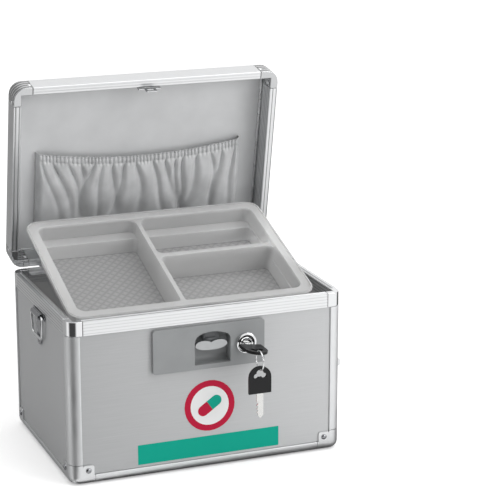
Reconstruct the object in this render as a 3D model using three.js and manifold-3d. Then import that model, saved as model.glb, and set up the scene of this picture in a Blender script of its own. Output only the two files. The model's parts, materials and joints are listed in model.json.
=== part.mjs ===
// Portable medication lock box: an aluminium framed case with a hinged lid, a tilting inner tray,
// a keyed paddle latch, a folding carry handle, two side rings and an unclipped shoulder strap.
// Millimetres, +Z up, the origin on the floor under the middle of the case, the front towards -Y.
import * as THREE from 'three';
import { mergeVertices } from 'three/addons/utils/BufferGeometryUtils.js';
import Module from 'manifold-3d';

const wasm = await Module();
wasm.setup();

// Clearances and counts shared by the whole object
const GAP = 0.3;
const OVERRUN = 4;
const WELD = 1e-4;
const ARC_STEPS = 6;
const ROUND_STEPS = 24;
const SMALL_STEPS = 12;
const FULL_TURN = Math.PI * 2;
const deg = THREE.MathUtils.degToRad;

// Pose in which the box stands open
const LID_OPEN = 79;
const TRAY_TILT = 18;
const KEY_ROLL = 8;

// Case shell and its frame
const CASE = { width: 320, depth: 224, height: 186.4, cornerRadius: 12, bottomRadius: 8.6 };
const EDGE_STEPS = 7;
const PANEL = { thickness: 5, inset: 1.5 };
const POST = { leg: 14, wall: 6.5 };
const BOTTOM_RAIL = { height: 11, leg: 14, wall: 6.5, floor: 5 };
const TOP_RAIL = {
  height: 16.4, wall: 7, rim: 8, ledgeDrop: 3.4, ledgeReach: 10.4, ledgeThickness: 2,
  grooveInset: 4.4, grooveWidth: 1.4, grooveDepth: 1, strikeRoom: 4,
};
const TOP_CAP = { leg: 17.4 };
const BOTTOM_CAP = {
  leg: 28, height: 23, lugAcross: 20.5, lugWidth: 13, lugTop: 22.4, lugUp: 16.5, lugRadius: 2.6,
  rivetRadius: 3, rivetRise: 1.6,
};

// Lid shell, built as if closed and then swung open
const LID = {
  height: 33, cornerRadius: 15, edgeRadius: 12, wall: 9, flange: 15, flangeThickness: 4,
  panelInset: 0.8, lining: 1.6, cornerLeg: 22,
};
const HINGE = {
  endRoom: 35, offset: 2.8, drop: 4.5, knuckleRadius: 2.5, pinRadius: 1.2, leafHeight: 8.5,
  leafThickness: 1.2, knuckles: 5,
};
const STRIKE = {
  width: 27, thickness: 1.7, standOff: 0.4, rise: 12, drop: 11, tipWidth: 13, tipDrop: 3,
  slotWidth: 8, slotHeight: 4.5, slotLift: 2.5,
};

// Gathered cloth pocket in the lid
const POCKET = {
  sideRoom: 35, seamToHinge: 24, hemSide: 90, hemMiddle: 101.5, thickness: 1.4, mouthDepth: 8,
  bellyDepth: 8, foldDepth: 4.2,
};
const POCKET_FOLDS = 11;
const POCKET_COLUMN_STEPS = 66;
const POCKET_ROW_STEPS = 7;
const POCKET_EDGE_SHARE = 0.3;
const POCKET_HEM_SHARE = 0.35;
const POCKET_SWAY_SHARE = 0.11;

// Carry handle on the lid
const HANDLE = {
  span: 136, reach: 58, legWidth: 13, gripWidth: 17, thickness: 8, arch: 5, edge: 1.8, pivotRise: 7.5,
  pinRadius: 2, pinPlay: 0.3, bend: 19, innerBend: 12,
};
const BRACKET = { width: 34, depth: 22, base: 2, corner: 3, earThickness: 3, earRadius: 5, play: 0.5 };

// Tilting tray with three compartments
const TRAY = {
  endRoom: 16.1, frontRoom: 8.5, rearRoom: 2.5, sideGap: 1.9, lip: 10, lipThickness: 2.2, cornerRadius: 16,
  height: 36, wall: 2.2, floor: 2.2, shoulderDrop: 20, shoulder: 1.2, shelf: 12, slope: 4, draft: 1,
  dividerTop: 5, dividerFoot: 7, crossTop: 6, crossFoot: 9, dividerDrop: 3,
};
const TRAY_SPLIT_SHARE = 0.465;
const TRAY_CROSS_SHARE = 0.548;

// Lock plate, paddle latch and lock barrel on the front
const LOCK = {
  width: 130, height: 50, drop: 44.2, plate: 4.2, cornerRadius: 3, windowWidth: 41.7, windowCentre: 4,
  windowSill: 19.8, windowSide: 8.4, windowTop: 18, windowArch: 22.8, windowLeftDrop: 2.4,
  cupWall: 2.4, cupDepth: 12, scoop: 7,
};
const PADDLE = {
  width: 37.4, height: 10.4, lift: 0.8, dip: 1.8, thickness: 3.4, setBack: 2.2, shift: -0.8,
  stemWidth: 18, stem: 2.4, pivotLift: 19.2, barrelRadius: 2.2, pinRadius: 1.2, pivotPlay: 0.8,
  armWidth: 15, arm: 2.2, armGap: 0.8, noseWidth: 6.5, nose: 2, noseReach: 4.4, slotPlay: 1,
};
const PADDLE_END_SHARE = 0.85;
const PADDLE_HUMP_SHARE = 1.35;
const PADDLE_INNER_SHARE = 0.3;
const CYLINDER = { centre: 42.8, bezelRadius: 11.8, bezelRise: 3, bodyRadius: 9, bodyDepth: 18, play: 0.3 };
const PLUG = { radius: 5.5, proud: 0.8, camLength: 14, camWidth: 8, camThickness: 2.4, camGap: 0.6 };

// Keys on their split ring
const KEY = {
  bowWidth: 26, bowLength: 31, thickness: 3, collar: 8, bladeWidth: 7.6, bladeThickness: 2,
  bladeLength: 29, eyeRadius: 4.6, eyeInset: 8, lobeRadius: 3, lobeSpread: 4.6, lobeDrop: 3,
  cutDepth: 1.5, cutPitch: 4, slotPlay: 0.35,
};
const KEY_RING = { radius: 11, wire: 0.9 };

// Side rings for the shoulder strap
const RING_PLATE = {
  topDrop: 21, barLength: 46, barHeight: 7.6, barCorner: 3, stripWidth: 15, drop: 36, thickness: 1.6,
  barrelLength: 30, barrelRadius: 3.4, tabCorner: 7, rivetLift: 5.5, rivetRadius: 2.6, rivetRise: 1.1,
};
const SIDE_RING = { topWidth: 48, bottomWidth: 34, height: 26, wire: 1.5, bend: 6, play: 0.35 };

// Shoulder strap, unclipped and folded flat behind the case
const STRAP = {
  width: 38, thickness: 2, layerPitch: 3.4, fold: 150, behind: 53, shift: 68, lead: 66, trail: 44,
  trailLead: 33, tail: 18, tailGap: 0.6, overlap: 4, slope: 8, wrapShift: 0.9, sample: 0.5,
};
const STRAP_LAYERS = 5;
const HOOK = {
  thickness: 5, play: 0.4, bar: 2.6, slotLength: 5.6, sidePlay: 0.7, frame: 3.4, neckWidth: 9, neckLength: 9,
  bodyWidth: 26, bodyLength: 44, wall: 6, corner: 11.5,
};
const KEEPER = { length: 20, wall: 2.6, play: 0.35, place: 43 };
const PAD = { length: 130, width: 48, height: 8, cornerRadius: 10, crown: 2.5 };
const PAD_LEVEL_SHARES = [[0.4, 0], [0, 0.35], [0.3, 0.65], [1, 0.9], [3, 1]];

// Places worked out from the sizes above
const halfWidth = CASE.width / 2;
const halfDepth = CASE.depth / 2;
const railBottom = CASE.height - TOP_RAIL.height;
const rimInner = halfDepth - TOP_RAIL.rim;
const lidBottom = CASE.height + GAP;
const lidTop = lidBottom + LID.height;
const flangeLow = lidTop - LID.flangeThickness;
const liningLow = flangeLow - GAP - LID.lining;
const hingeY = halfDepth + HINGE.offset;
const hingeZ = CASE.height - HINGE.drop;
const frontFace = -halfDepth + PANEL.inset;
const plateBack = frontFace - GAP;
const plateFace = plateBack - LOCK.plate;
const cupBack = plateBack + LOCK.cupDepth;
const cylinderFace = plateFace - GAP;
const barrelEnd = cylinderFace + CYLINDER.bodyDepth;
const plugFace = cylinderFace - CYLINDER.bezelRise - PLUG.proud;
const lockHeight = CASE.height - LOCK.drop;
const lockAxis = [CYLINDER.centre, lockHeight];
const paddlePivot = [plateBack + PADDLE.pivotPlay + PADDLE.barrelRadius, lockHeight + PADDLE.pivotLift];
const ringHeight = CASE.height - RING_PLATE.topDrop;
const trayWidth = CASE.width - 2 * TOP_RAIL.rim - TRAY.sideGap - TRAY.endRoom;
const trayDepth = 2 * rimInner - TRAY.frontRoom - TRAY.rearRoom;

const FINISH = {
  panel: { color: 0xb9bbbc, roughness: 0.45, metalness: 0.6 },
  rail: { color: 0xd4d6d8, roughness: 0.3, metalness: 0.9 },
  chrome: { color: 0xe6e8ea, roughness: 0.12, metalness: 1 },
  satin: { color: 0xc4c6c8, roughness: 0.35, metalness: 0.9 },
  greyPlastic: { color: 0x8c8e90, roughness: 0.5, metalness: 0 },
  palePlastic: { color: 0xa7a9ab, roughness: 0.45, metalness: 0 },
  lining: { color: 0xb8b9bb, roughness: 0.8, metalness: 0 },
  cloth: { color: 0xa6a6a8, roughness: 0.7, metalness: 0 },
  tray: { color: 0xd6d8da, roughness: 0.35, metalness: 0 },
  black: { color: 0x1c1c1e, roughness: 0.6, metalness: 0 },
};

const part = new THREE.Group();
const lidPivot = new THREE.Group();
const lid = new THREE.Group();
part.add(lidPivot);
lidPivot.add(lid);
lidPivot.position.set(0, hingeY, hingeZ);
lidPivot.rotation.x = -deg(LID_OPEN);
lid.position.set(0, -hingeY, -hingeZ);

// Solids and meshes

function solidOf(geometry) {
  const plain = geometry.clone();
  for (const name of Object.keys(plain.attributes)) {
    if (name !== 'position') plain.deleteAttribute(name);
  }
  const merged = mergeVertices(plain, WELD);
  const vertProperties = new Float32Array(merged.attributes.position.array);
  const triVerts = new Uint32Array(merged.index.array);
  return new wasm.Manifold(new wasm.Mesh({ numProp: 3, vertProperties, triVerts }));
}

function geometryOf(solid) {
  const mesh = solid.getMesh();
  const geometry = new THREE.BufferGeometry();
  geometry.setAttribute('position', new THREE.BufferAttribute(new Float32Array(mesh.vertProperties), 3));
  geometry.setIndex(new THREE.BufferAttribute(new Uint32Array(mesh.triVerts), 1));
  geometry.computeVertexNormals();
  return geometry;
}

function union(solids) {
  return solids.reduce((whole, next) => whole.add(next));
}

function cut(solid, ...tools) {
  return tools.reduce((whole, tool) => whole.subtract(tool), solid);
}

function moved(solid, matrix) {
  return solid.transform(matrix.elements);
}

function place(parent, name, finish, solid) {
  const mesh = new THREE.Mesh(geometryOf(solid), new THREE.MeshStandardMaterial(FINISH[finish]));
  mesh.name = name;
  parent.add(mesh);
}

// A closed skin from its corner points and triangles.
function skinSolid(positions, index) {
  const geometry = new THREE.BufferGeometry();
  geometry.setAttribute('position', new THREE.Float32BufferAttribute(positions, 3));
  geometry.setIndex(index);
  return solidOf(geometry);
}

// Basic shapes

function around(middle, width) {
  return [middle - width / 2, middle + width / 2];
}

function ordered(a, b) {
  return a < b ? [a, b] : [b, a];
}

function block(x, y, z) {
  const size = [x, y, z].map(([low, high]) => Math.abs(high - low));
  const middle = [x, y, z].map(([low, high]) => (low + high) / 2);
  return solidOf(new THREE.BoxGeometry(...size).translate(...middle));
}

// A flat outline is drawn in (y, z) for a prism along X, in (x, z) along Y and in (x, y) along Z.
function prism(shape, axis, [from, to], curveSegments = ARC_STEPS, bevel = 0) {
  const geometry = new THREE.ExtrudeGeometry(shape, {
    depth: to - from - 2 * bevel,
    steps: 1,
    curveSegments,
    bevelEnabled: bevel > 0,
    bevelSize: bevel,
    bevelThickness: bevel,
    bevelOffset: -bevel,
    bevelSegments: 2,
  }).translate(0, 0, bevel);
  const alongX = new THREE.Vector3(1, 0, 0);
  const alongY = new THREE.Vector3(0, 1, 0);
  const alongZ = new THREE.Vector3(0, 0, 1);
  const basis = new THREE.Matrix4();
  if (axis === 'x') {
    geometry.applyMatrix4(basis.makeBasis(alongY, alongZ, alongX)).translate(from, 0, 0);
  } else if (axis === 'y') {
    geometry.applyMatrix4(basis.makeBasis(alongX, alongZ, alongY.negate())).translate(0, to, 0);
  } else {
    geometry.translate(0, 0, from);
  }
  return solidOf(geometry);
}

// A rectangle with one radius, or four of them from the lower left corner round.
function rounded([x0, x1], [y0, y1], radii) {
  const [a, b, c, d] = Array.isArray(radii) ? radii : [radii, radii, radii, radii];
  const shape = new THREE.Shape();
  const quarter = Math.PI / 2;
  shape.moveTo(x0 + a, y0);
  shape.lineTo(x1 - b, y0);
  if (b > 0) shape.absarc(x1 - b, y0 + b, b, -quarter, 0);
  shape.lineTo(x1, y1 - c);
  if (c > 0) shape.absarc(x1 - c, y1 - c, c, 0, quarter);
  shape.lineTo(x0 + d, y1);
  if (d > 0) shape.absarc(x0 + d, y1 - d, d, quarter, 2 * quarter);
  shape.lineTo(x0, y0 + a);
  if (a > 0) shape.absarc(x0 + a, y0 + a, a, 2 * quarter, 3 * quarter);
  return shape;
}

function outline(points) {
  return new THREE.Shape(points.map(([x, y]) => new THREE.Vector2(x, y)));
}

function rod(axis, [u, v], radius, span, steps = ROUND_STEPS) {
  return prism(new THREE.Shape().absarc(u, v, radius, 0, FULL_TURN), axis, span, steps / 2);
}

// A domed rivet head: a slice of a ball that stands on a face, sunk a little into what carries it.
function rivet(at, normal, radius, rise) {
  const ball = (radius * radius + rise * rise) / (2 * rise);
  const head = new THREE.SphereGeometry(ball, SMALL_STEPS, SMALL_STEPS / 2).rotateX(Math.PI / 2);
  const dome = solidOf(head.translate(0, 0, rise - ball));
  const kept = dome.intersect(block(around(0, 2 * ball), around(0, 2 * ball), [-GAP, ball]));
  const up = new THREE.Vector3(0, 0, 1);
  const turn = new THREE.Quaternion().setFromUnitVectors(up, new THREE.Vector3(...normal));
  return moved(kept, new THREE.Matrix4().makeRotationFromQuaternion(turn).setPosition(...at));
}

// One level of a rounded box, with the same number of points whatever its size.
function roundedRing([x0, x1], [y0, y1], radius, z) {
  const centres = [
    [x1 - radius, y1 - radius],
    [x0 + radius, y1 - radius],
    [x0 + radius, y0 + radius],
    [x1 - radius, y0 + radius],
  ];
  return centres.flatMap(([x, y], quarter) => Array.from({ length: ARC_STEPS + 1 }, (_, s) => {
    const angle = (quarter + s / ARC_STEPS) * (Math.PI / 2);
    return [x + radius * Math.cos(angle), y + radius * Math.sin(angle), z];
  }));
}

// Joins levels of equally many points, from the lowest up, into one closed skin.
function loft(rings) {
  const count = rings[0].length;
  const index = [];
  for (let r = 0; r + 1 < rings.length; r += 1) {
    for (let i = 0; i < count; i += 1) {
      const a = r * count + i;
      const b = r * count + ((i + 1) % count);
      index.push(a, b, b + count, a, b + count, a + count);
    }
  }
  const flat = rings[0].map(([x, y]) => new THREE.Vector2(x, y));
  const top = (rings.length - 1) * count;
  for (const [a, b, c] of THREE.ShapeUtils.triangulateShape(flat, [])) {
    index.push(a, c, b);
    index.push(top + a, top + b, top + c);
  }
  return skinSolid(rings.flat(2), index);
}

// A round wire along a closed loop of (y, z) points at one x.
function wireLoop(x, points, radius, sides) {
  const positions = [];
  const index = [];
  const count = points.length;
  points.forEach(([y, z], i) => {
    const [y0, z0] = points[(i + count - 1) % count];
    const [y1, z1] = points[(i + 1) % count];
    const outward = new THREE.Vector2(z1 - z0, y0 - y1).normalize();
    const next = ((i + 1) % count) * sides;
    for (let s = 0; s < sides; s += 1) {
      const angle = (s / sides) * FULL_TURN;
      const out = radius * Math.cos(angle);
      positions.push(x + radius * Math.sin(angle), y + out * outward.x, z + out * outward.y);
      const t = (s + 1) % sides;
      index.push(i * sides + s, next + s, next + t);
      index.push(i * sides + s, next + t, i * sides + t);
    }
  });
  return skinSolid(positions, index);
}

// Rounds the corners of a closed polygon into short curves.
function softened(corners, radius) {
  const count = corners.length;
  return corners.flatMap((corner, i) => {
    const here = new THREE.Vector2(...corner);
    const before = new THREE.Vector2(...corners[(i + count - 1) % count]).sub(here).normalize();
    const after = new THREE.Vector2(...corners[(i + 1) % count]).sub(here).normalize();
    const trim = radius / Math.tan(Math.acos(before.dot(after)) / 2);
    const start = before.multiplyScalar(trim).add(here);
    const end = after.multiplyScalar(trim).add(here);
    return new THREE.QuadraticBezierCurve(start, here, end).getPoints(ARC_STEPS).map((p) => [p.x, p.y]);
  });
}

// Case frame

// A box with rounded upright corners, drawn in along a quarter circle at its low or high end.
function envelope(cornerRadius, [low, high], lowerRadius, upperRadius) {
  const level = (inset, z) => roundedRing(
    [inset - halfWidth, halfWidth - inset], [inset - halfDepth, halfDepth - inset], cornerRadius - inset, z,
  );
  const edge = (radius, end, way) => {
    const steps = radius > 0 ? EDGE_STEPS : 0;
    return Array.from({ length: steps + 1 }, (_, i) => {
      const angle = (i / EDGE_STEPS) * (Math.PI / 2);
      return level(radius * (1 - Math.sin(angle)), end + way * radius * (1 - Math.cos(angle)));
    });
  };
  return loft([...edge(lowerRadius, low, 1), ...edge(upperRadius, high, -1).reverse()]);
}

const caseEnvelope = envelope(CASE.cornerRadius, [0, CASE.height], CASE.bottomRadius, 0);
const lidEnvelope = envelope(LID.cornerRadius, [lidBottom, lidTop], 0, LID.edgeRadius);

const CORNERS = [
  ['front_left', [-1, -1]],
  ['front_right', [1, -1]],
  ['rear_left', [-1, 1]],
  ['rear_right', [1, 1]],
];

// The four sides: the name, the axis that a rail runs along, and the way out.
const SIDES = [
  ['front', 'x', -1],
  ['rear', 'x', 1],
  ['left', 'y', -1],
  ['right', 'y', 1],
];

// A block measured inwards from the outer faces at one corner of the plan.
function cornerBlock([sx, sy], acrossX, acrossY, z) {
  const x = ordered(sx * halfWidth, sx * (halfWidth - acrossX));
  const y = ordered(sy * halfDepth, sy * (halfDepth - acrossY));
  return block(x, y, z);
}

function elbow(corner, leg, wall, z) {
  return cornerBlock(corner, leg, wall, z).add(cornerBlock(corner, wall, leg, z));
}

// A rail of one section, drawn as distance inwards from the outer face and height.
function railPrism(axis, out, section, endGap) {
  const face = axis === 'x' ? halfDepth : halfWidth;
  const run = (axis === 'x' ? halfWidth : halfDepth) - endGap;
  return prism(outline(section.map(([inward, z]) => [out * (face - inward), z])), axis, [-run, run]);
}

function rectangle(inward, [low, high]) {
  return [[0, low], [inward, low], [inward, high], [0, high]];
}

// The rim with its groove, and on the front and rear the ledge that the tray's lip sits on.
function topRailSection(reach) {
  const { rim, wall, grooveInset, grooveWidth, grooveDepth, ledgeThickness, ledgeDrop } = TOP_RAIL;
  const top = CASE.height;
  const ledge = top - ledgeDrop;
  const under = ledge - ledgeThickness;
  const ledgePoints = reach > 0 ? [[rim + reach, under], [rim + reach, ledge], [rim, ledge]] : [[rim, under]];
  const grooveEnd = grooveInset + grooveWidth;
  return [
    [0, railBottom], [wall, railBottom], [wall, under], ...ledgePoints, [rim, top], [grooveEnd, top],
    [grooveEnd, top - grooveDepth], [grooveInset, top - grooveDepth], [grooveInset, top], [0, top],
  ];
}

function topRail(name, axis, out) {
  const reach = axis === 'x' ? TOP_RAIL.ledgeReach : 0;
  const rail = railPrism(axis, out, topRailSection(reach), TOP_CAP.leg + GAP);
  if (name !== 'front') return rail;
  const room = block(
    around(0, STRIKE.width + 2 * TOP_RAIL.strikeRoom),
    [-rimInner, -rimInner + reach + OVERRUN],
    [railBottom - OVERRUN, CASE.height + OVERRUN],
  );
  return cut(rail, room);
}

function bottomRail(axis, out) {
  const { wall, leg, height, floor } = BOTTOM_RAIL;
  const upright = railPrism(axis, out, rectangle(wall, [0, height]), BOTTOM_CAP.leg + GAP);
  const foot = railPrism(axis, out, rectangle(leg, [0, floor]), BOTTOM_CAP.leg + GAP);
  return upright.add(foot);
}

// A corner cap: a sleeve over the post and both rails, with a riveted lug on each face.
function bottomCap(corner) {
  const { leg, height, lugAcross, lugWidth, lugTop, lugUp, lugRadius, rivetRadius, rivetRise } = BOTTOM_CAP;
  const [sx, sy] = corner;
  const sleeve = union([
    elbow(corner, POST.leg, POST.wall, [0, height]),
    elbow(corner, leg, BOTTOM_RAIL.wall, [0, BOTTOM_RAIL.height]),
    elbow(corner, leg, BOTTOM_RAIL.leg, [0, BOTTOM_RAIL.floor]),
  ]).intersect(caseEnvelope);
  const x = sx * (halfWidth - lugAcross);
  const y = sy * (halfDepth - lugAcross);
  const lugY = ordered(sy * halfDepth, sy * (halfDepth - PANEL.inset + GAP));
  const lugX = ordered(sx * halfWidth, sx * (halfWidth - PANEL.inset + GAP));
  const lugHeight = [BOTTOM_RAIL.height - lugRadius, lugTop];
  return union([
    sleeve,
    prism(rounded(around(x, lugWidth), lugHeight, lugRadius), 'y', lugY),
    prism(rounded(around(y, lugWidth), lugHeight, lugRadius), 'x', lugX),
    rivet([x, sy * halfDepth, lugUp], [0, sy, 0], rivetRadius, rivetRise),
    rivet([sx * halfWidth, y, lugUp], [sx, 0, 0], rivetRadius, rivetRise),
  ]);
}

function buildFrame() {
  for (const [name, corner] of CORNERS) {
    const post = elbow(corner, POST.leg, POST.wall, [BOTTOM_CAP.height + GAP, railBottom - GAP]);
    const cap = elbow(corner, TOP_CAP.leg, TOP_RAIL.rim, [railBottom, CASE.height]);
    place(part, `post_${name}`, 'rail', post.intersect(caseEnvelope));
    place(part, `top_cap_${name}`, 'chrome', cap.intersect(caseEnvelope));
    place(part, `bottom_cap_${name}`, 'satin', bottomCap(corner));
  }
  for (const [name, axis, out] of SIDES) {
    place(part, `top_rail_${name}`, 'rail', topRail(name, axis, out).intersect(caseEnvelope));
    place(part, `bottom_rail_${name}`, 'rail', bottomRail(axis, out).intersect(caseEnvelope));
  }
}

// Case panels

function buildPanels() {
  const acrossX = around(0, CASE.width - 2 * (POST.leg + GAP));
  const acrossY = around(0, CASE.depth - 2 * (POST.leg + GAP));
  const floorX = around(0, CASE.width - 2 * (BOTTOM_RAIL.leg + GAP));
  const floorY = around(0, CASE.depth - 2 * (BOTTOM_RAIL.leg + GAP));
  const rise = [BOTTOM_RAIL.height + GAP, railBottom - GAP];
  const inner = PANEL.inset + PANEL.thickness;
  const front = [-halfDepth + PANEL.inset, -halfDepth + inner];
  place(part, 'base_panel', 'panel', block(floorX, floorY, [0, BOTTOM_RAIL.floor]));
  place(part, 'rear_panel', 'panel', block(acrossX, [halfDepth - inner, halfDepth - PANEL.inset], rise));
  place(part, 'left_panel', 'panel', block([-halfWidth + PANEL.inset, -halfWidth + inner], acrossY, rise));
  place(part, 'right_panel', 'panel', block([halfWidth - inner, halfWidth - PANEL.inset], acrossY, rise));
  const through = [front[0] - OVERRUN, front[1] + OVERRUN];
  const cup = cupSpan(GAP);
  place(part, 'front_panel', 'panel', cut(
    block(acrossX, front, rise),
    block(cup.x, through, cup.z),
    rod('y', lockAxis, CYLINDER.bodyRadius + CYLINDER.play, through),
  ));
}

// Front lock

function cupSpan(extra) {
  const { windowWidth, windowCentre, windowSill, cupWall } = LOCK;
  const hollowTop = paddlePivot[1] + PADDLE.barrelRadius + PADDLE.pivotPlay;
  return {
    x: around(windowCentre, windowWidth + 2 * (cupWall + extra)),
    z: [lockHeight - windowSill - cupWall - extra, hollowTop + cupWall + extra],
  };
}

function windowShape() {
  const [left, right] = around(LOCK.windowCentre, LOCK.windowWidth);
  const sill = lockHeight - LOCK.windowSill;
  const side = lockHeight + LOCK.windowSide;
  const shape = new THREE.Shape();
  shape.moveTo(left, sill);
  shape.lineTo(right, sill);
  shape.lineTo(right, side);
  shape.bezierCurveTo(
    right, lockHeight + LOCK.windowTop, left, lockHeight + LOCK.windowArch, left, side - LOCK.windowLeftDrop,
  );
  return shape;
}

// The plate with the finger cup behind its window; the cup's back has a slot for the latch arm.
function lockHousing() {
  const { width, height, cornerRadius, cupWall, scoop, windowWidth, windowCentre } = LOCK;
  const cup = cupSpan(0);
  const hollow = cupSpan(-cupWall);
  const hollowBack = cupBack - cupWall;
  const plate = prism(
    rounded(around(0, width), around(lockHeight, height), cornerRadius), 'y', [plateFace, plateBack],
  );
  const window = prism(windowShape(), 'y', [plateFace - OVERRUN, plateBack + cupWall], SMALL_STEPS);
  const well = prism(
    rounded([plateBack, hollowBack], hollow.z, [0, scoop, 0, 0]), 'x', around(windowCentre, windowWidth),
  );
  const armSlot = block(
    around(0, PADDLE.armWidth + 2 * PADDLE.slotPlay),
    [hollowBack - GAP, cupBack + OVERRUN],
    [paddlePivot[1] - 2 * PADDLE.barrelRadius, cup.z[1] + OVERRUN],
  );
  const pinHole = rod(
    'x', paddlePivot, PADDLE.pinRadius + GAP, [cup.x[0] - OVERRUN, cup.x[1] + OVERRUN], SMALL_STEPS,
  );
  const lockHole = rod(
    'y', lockAxis, CYLINDER.bodyRadius + CYLINDER.play, [plateFace - OVERRUN, plateBack + OVERRUN],
  );
  const body = plate.add(block(cup.x, [plateBack - GAP, cupBack], cup.z));
  return cut(body, window, well, armSlot, pinHole, lockHole);
}

// The pull is a flat lens with two humps along its upper edge.
function pullShape() {
  const centre = LOCK.windowCentre + PADDLE.shift;
  const wide = PADDLE.width / 2;
  const tall = PADDLE.height / 2;
  const level = lockHeight + PADDLE.lift;
  const end = wide * PADDLE_END_SHARE;
  const inner = wide * PADDLE_INNER_SHARE;
  const hump = level + tall * PADDLE_HUMP_SHARE;
  const shape = new THREE.Shape();
  shape.moveTo(centre - wide, level);
  shape.bezierCurveTo(centre - end, level - tall, centre - inner, level - tall, centre, level - tall);
  shape.bezierCurveTo(centre + inner, level - tall, centre + end, level - tall, centre + wide, level);
  shape.bezierCurveTo(centre + wide, hump, centre + inner, hump, centre, level + tall - PADDLE.dip);
  shape.bezierCurveTo(centre - inner, hump, centre - wide, hump, centre - wide, level);
  return shape;
}

// The paddle hangs on a pin behind the plate; its arm reaches up through the cup to the strike.
function paddle() {
  const { stemWidth, stem, barrelRadius, pinRadius, armWidth, arm, armGap, nose } = PADDLE;
  const [pivotY, pivotHeight] = paddlePivot;
  const front = plateFace + PADDLE.setBack;
  const centre = LOCK.windowCentre;
  const pull = prism(pullShape(), 'y', [front, front + PADDLE.thickness], SMALL_STEPS / 2);
  const stemBack = pivotY + stem / 2;
  const stemRise = [lockHeight + PADDLE.lift, pivotHeight];
  const stemBlock = block(around(centre, stemWidth), [front + GAP, stemBack], stemRise);
  const stemTrim = block(
    around(centre, stemWidth + 2 * OVERRUN),
    [front - OVERRUN, pivotY - barrelRadius],
    [lockHeight + LOCK.windowSide, pivotHeight + OVERRUN],
  );
  const barrel = rod('x', paddlePivot, barrelRadius, around(centre, stemWidth), SMALL_STEPS);
  const pin = rod('x', paddlePivot, pinRadius, around(centre, LOCK.windowWidth + LOCK.cupWall), SMALL_STEPS);
  const armFront = cupBack + armGap;
  const noseTop = CASE.height - STRIKE.drop + STRIKE.slotLift + (STRIKE.slotHeight + nose) / 2;
  const armShape = outline([
    [pivotY, pivotHeight - arm / 2],
    [armFront + arm, pivotHeight - arm / 2],
    [armFront + arm, noseTop],
    [armFront, noseTop],
    [armFront, pivotHeight + arm / 2],
    [pivotY, pivotHeight + arm / 2],
  ]);
  const hook = block(
    around(0, PADDLE.noseWidth), [armFront - PADDLE.noseReach, armFront + GAP], [noseTop - nose, noseTop],
  );
  return union([
    pull, cut(stemBlock, stemTrim), barrel, pin, prism(armShape, 'x', around(0, armWidth)), hook,
  ]);
}

function lockBarrel() {
  const bezel = rod('y', lockAxis, CYLINDER.bezelRadius, [cylinderFace - CYLINDER.bezelRise, cylinderFace]);
  const body = rod('y', lockAxis, CYLINDER.bodyRadius, [cylinderFace - GAP, barrelEnd]);
  const bore = rod('y', lockAxis, PLUG.radius + CYLINDER.play, [plugFace - OVERRUN, barrelEnd + OVERRUN]);
  return cut(bezel.add(body), bore);
}

function atLock(solid) {
  const roll = new THREE.Matrix4().makeRotationY(deg(KEY_ROLL));
  return moved(solid, roll.setPosition(CYLINDER.centre, 0, lockHeight));
}

// The plug turns in the barrel, slotted for the key, with the cam on its inner end.
function lockPlug() {
  const camFace = barrelEnd + PLUG.camGap;
  const camSpan = [camFace, camFace + PLUG.camThickness];
  const core = rod('y', [0, 0], PLUG.radius, [plugFace, camSpan[1]]);
  const half = PLUG.camWidth / 2;
  const cam = prism(rounded([-half, half], [-PLUG.camLength, half], half), 'y', camSpan);
  const slotEnd = plugFace - KEY.collar + KEY.bladeLength + KEY.slotPlay;
  const slot = block(
    around(0, KEY.bladeWidth + 2 * KEY.slotPlay),
    [plugFace - OVERRUN, slotEnd],
    around(0, KEY.bladeThickness + 2 * KEY.slotPlay),
  );
  return atLock(cut(core.add(cam), slot));
}

function buildLock() {
  place(part, 'lock_housing', 'greyPlastic', lockHousing());
  place(part, 'latch_paddle', 'palePlastic', paddle());
  place(part, 'lock_cylinder', 'chrome', lockBarrel());
  place(part, 'lock_plug', 'chrome', lockPlug());
}

// Keys

function bowShape() {
  const half = KEY.bowWidth / 2;
  const shape = new THREE.Shape();
  shape.moveTo(half, 0);
  shape.lineTo(-half, 0);
  shape.lineTo(-half, -KEY.bowLength + half);
  shape.absarc(0, -KEY.bowLength + half, half, Math.PI, FULL_TURN);
  return shape;
}

// The blade's cuts repeat along one edge from the tip back to the shoulder.
function bladeShape() {
  const wide = KEY.bladeWidth / 2;
  const root = wide - KEY.cutDepth;
  const points = [[-wide, -GAP], [wide, -GAP], [wide, KEY.collar]];
  let v = KEY.collar + KEY.cutPitch;
  while (v + KEY.cutPitch < KEY.bladeLength) {
    points.push([wide, v - KEY.cutPitch / 2], [root, v - KEY.cutPitch / 4], [root, v]);
    v += KEY.cutPitch;
  }
  points.push([root, KEY.bladeLength - wide], [0, KEY.bladeLength], [-wide, KEY.bladeLength - wide]);
  return outline(points);
}

// A key drawn flat with its blade up the second axis and its thickness along the given axis.
function keySolid(axis) {
  const eye = -KEY.bowLength + KEY.eyeInset;
  const holes = [
    [0, eye, KEY.eyeRadius],
    [-KEY.lobeSpread, eye + KEY.lobeDrop, KEY.lobeRadius],
    [KEY.lobeSpread, eye + KEY.lobeDrop, KEY.lobeRadius],
  ];
  const through = around(0, KEY.thickness + 2 * OVERRUN);
  return cut(
    prism(bowShape(), axis, around(0, KEY.thickness)).add(
      prism(bladeShape(), axis, around(0, KEY.bladeThickness)),
    ),
    ...holes.map(([u, v, radius]) => rod(axis, [u, v], radius, through, SMALL_STEPS)),
  );
}

const bowBase = plugFace - KEY.collar;
const bowBar = KEY.eyeInset - KEY.eyeRadius;
const ringInner = KEY_RING.radius - KEY_RING.wire;
const ringY = bowBase - KEY.bowLength + bowBar / 2;
// The ring hangs on the bow's bar, whose upper corners just clear the wire.
const ringZ = lockHeight + KEY.thickness / 2 + GAP - Math.sqrt(ringInner ** 2 - (bowBar / 2) ** 2);
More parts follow.
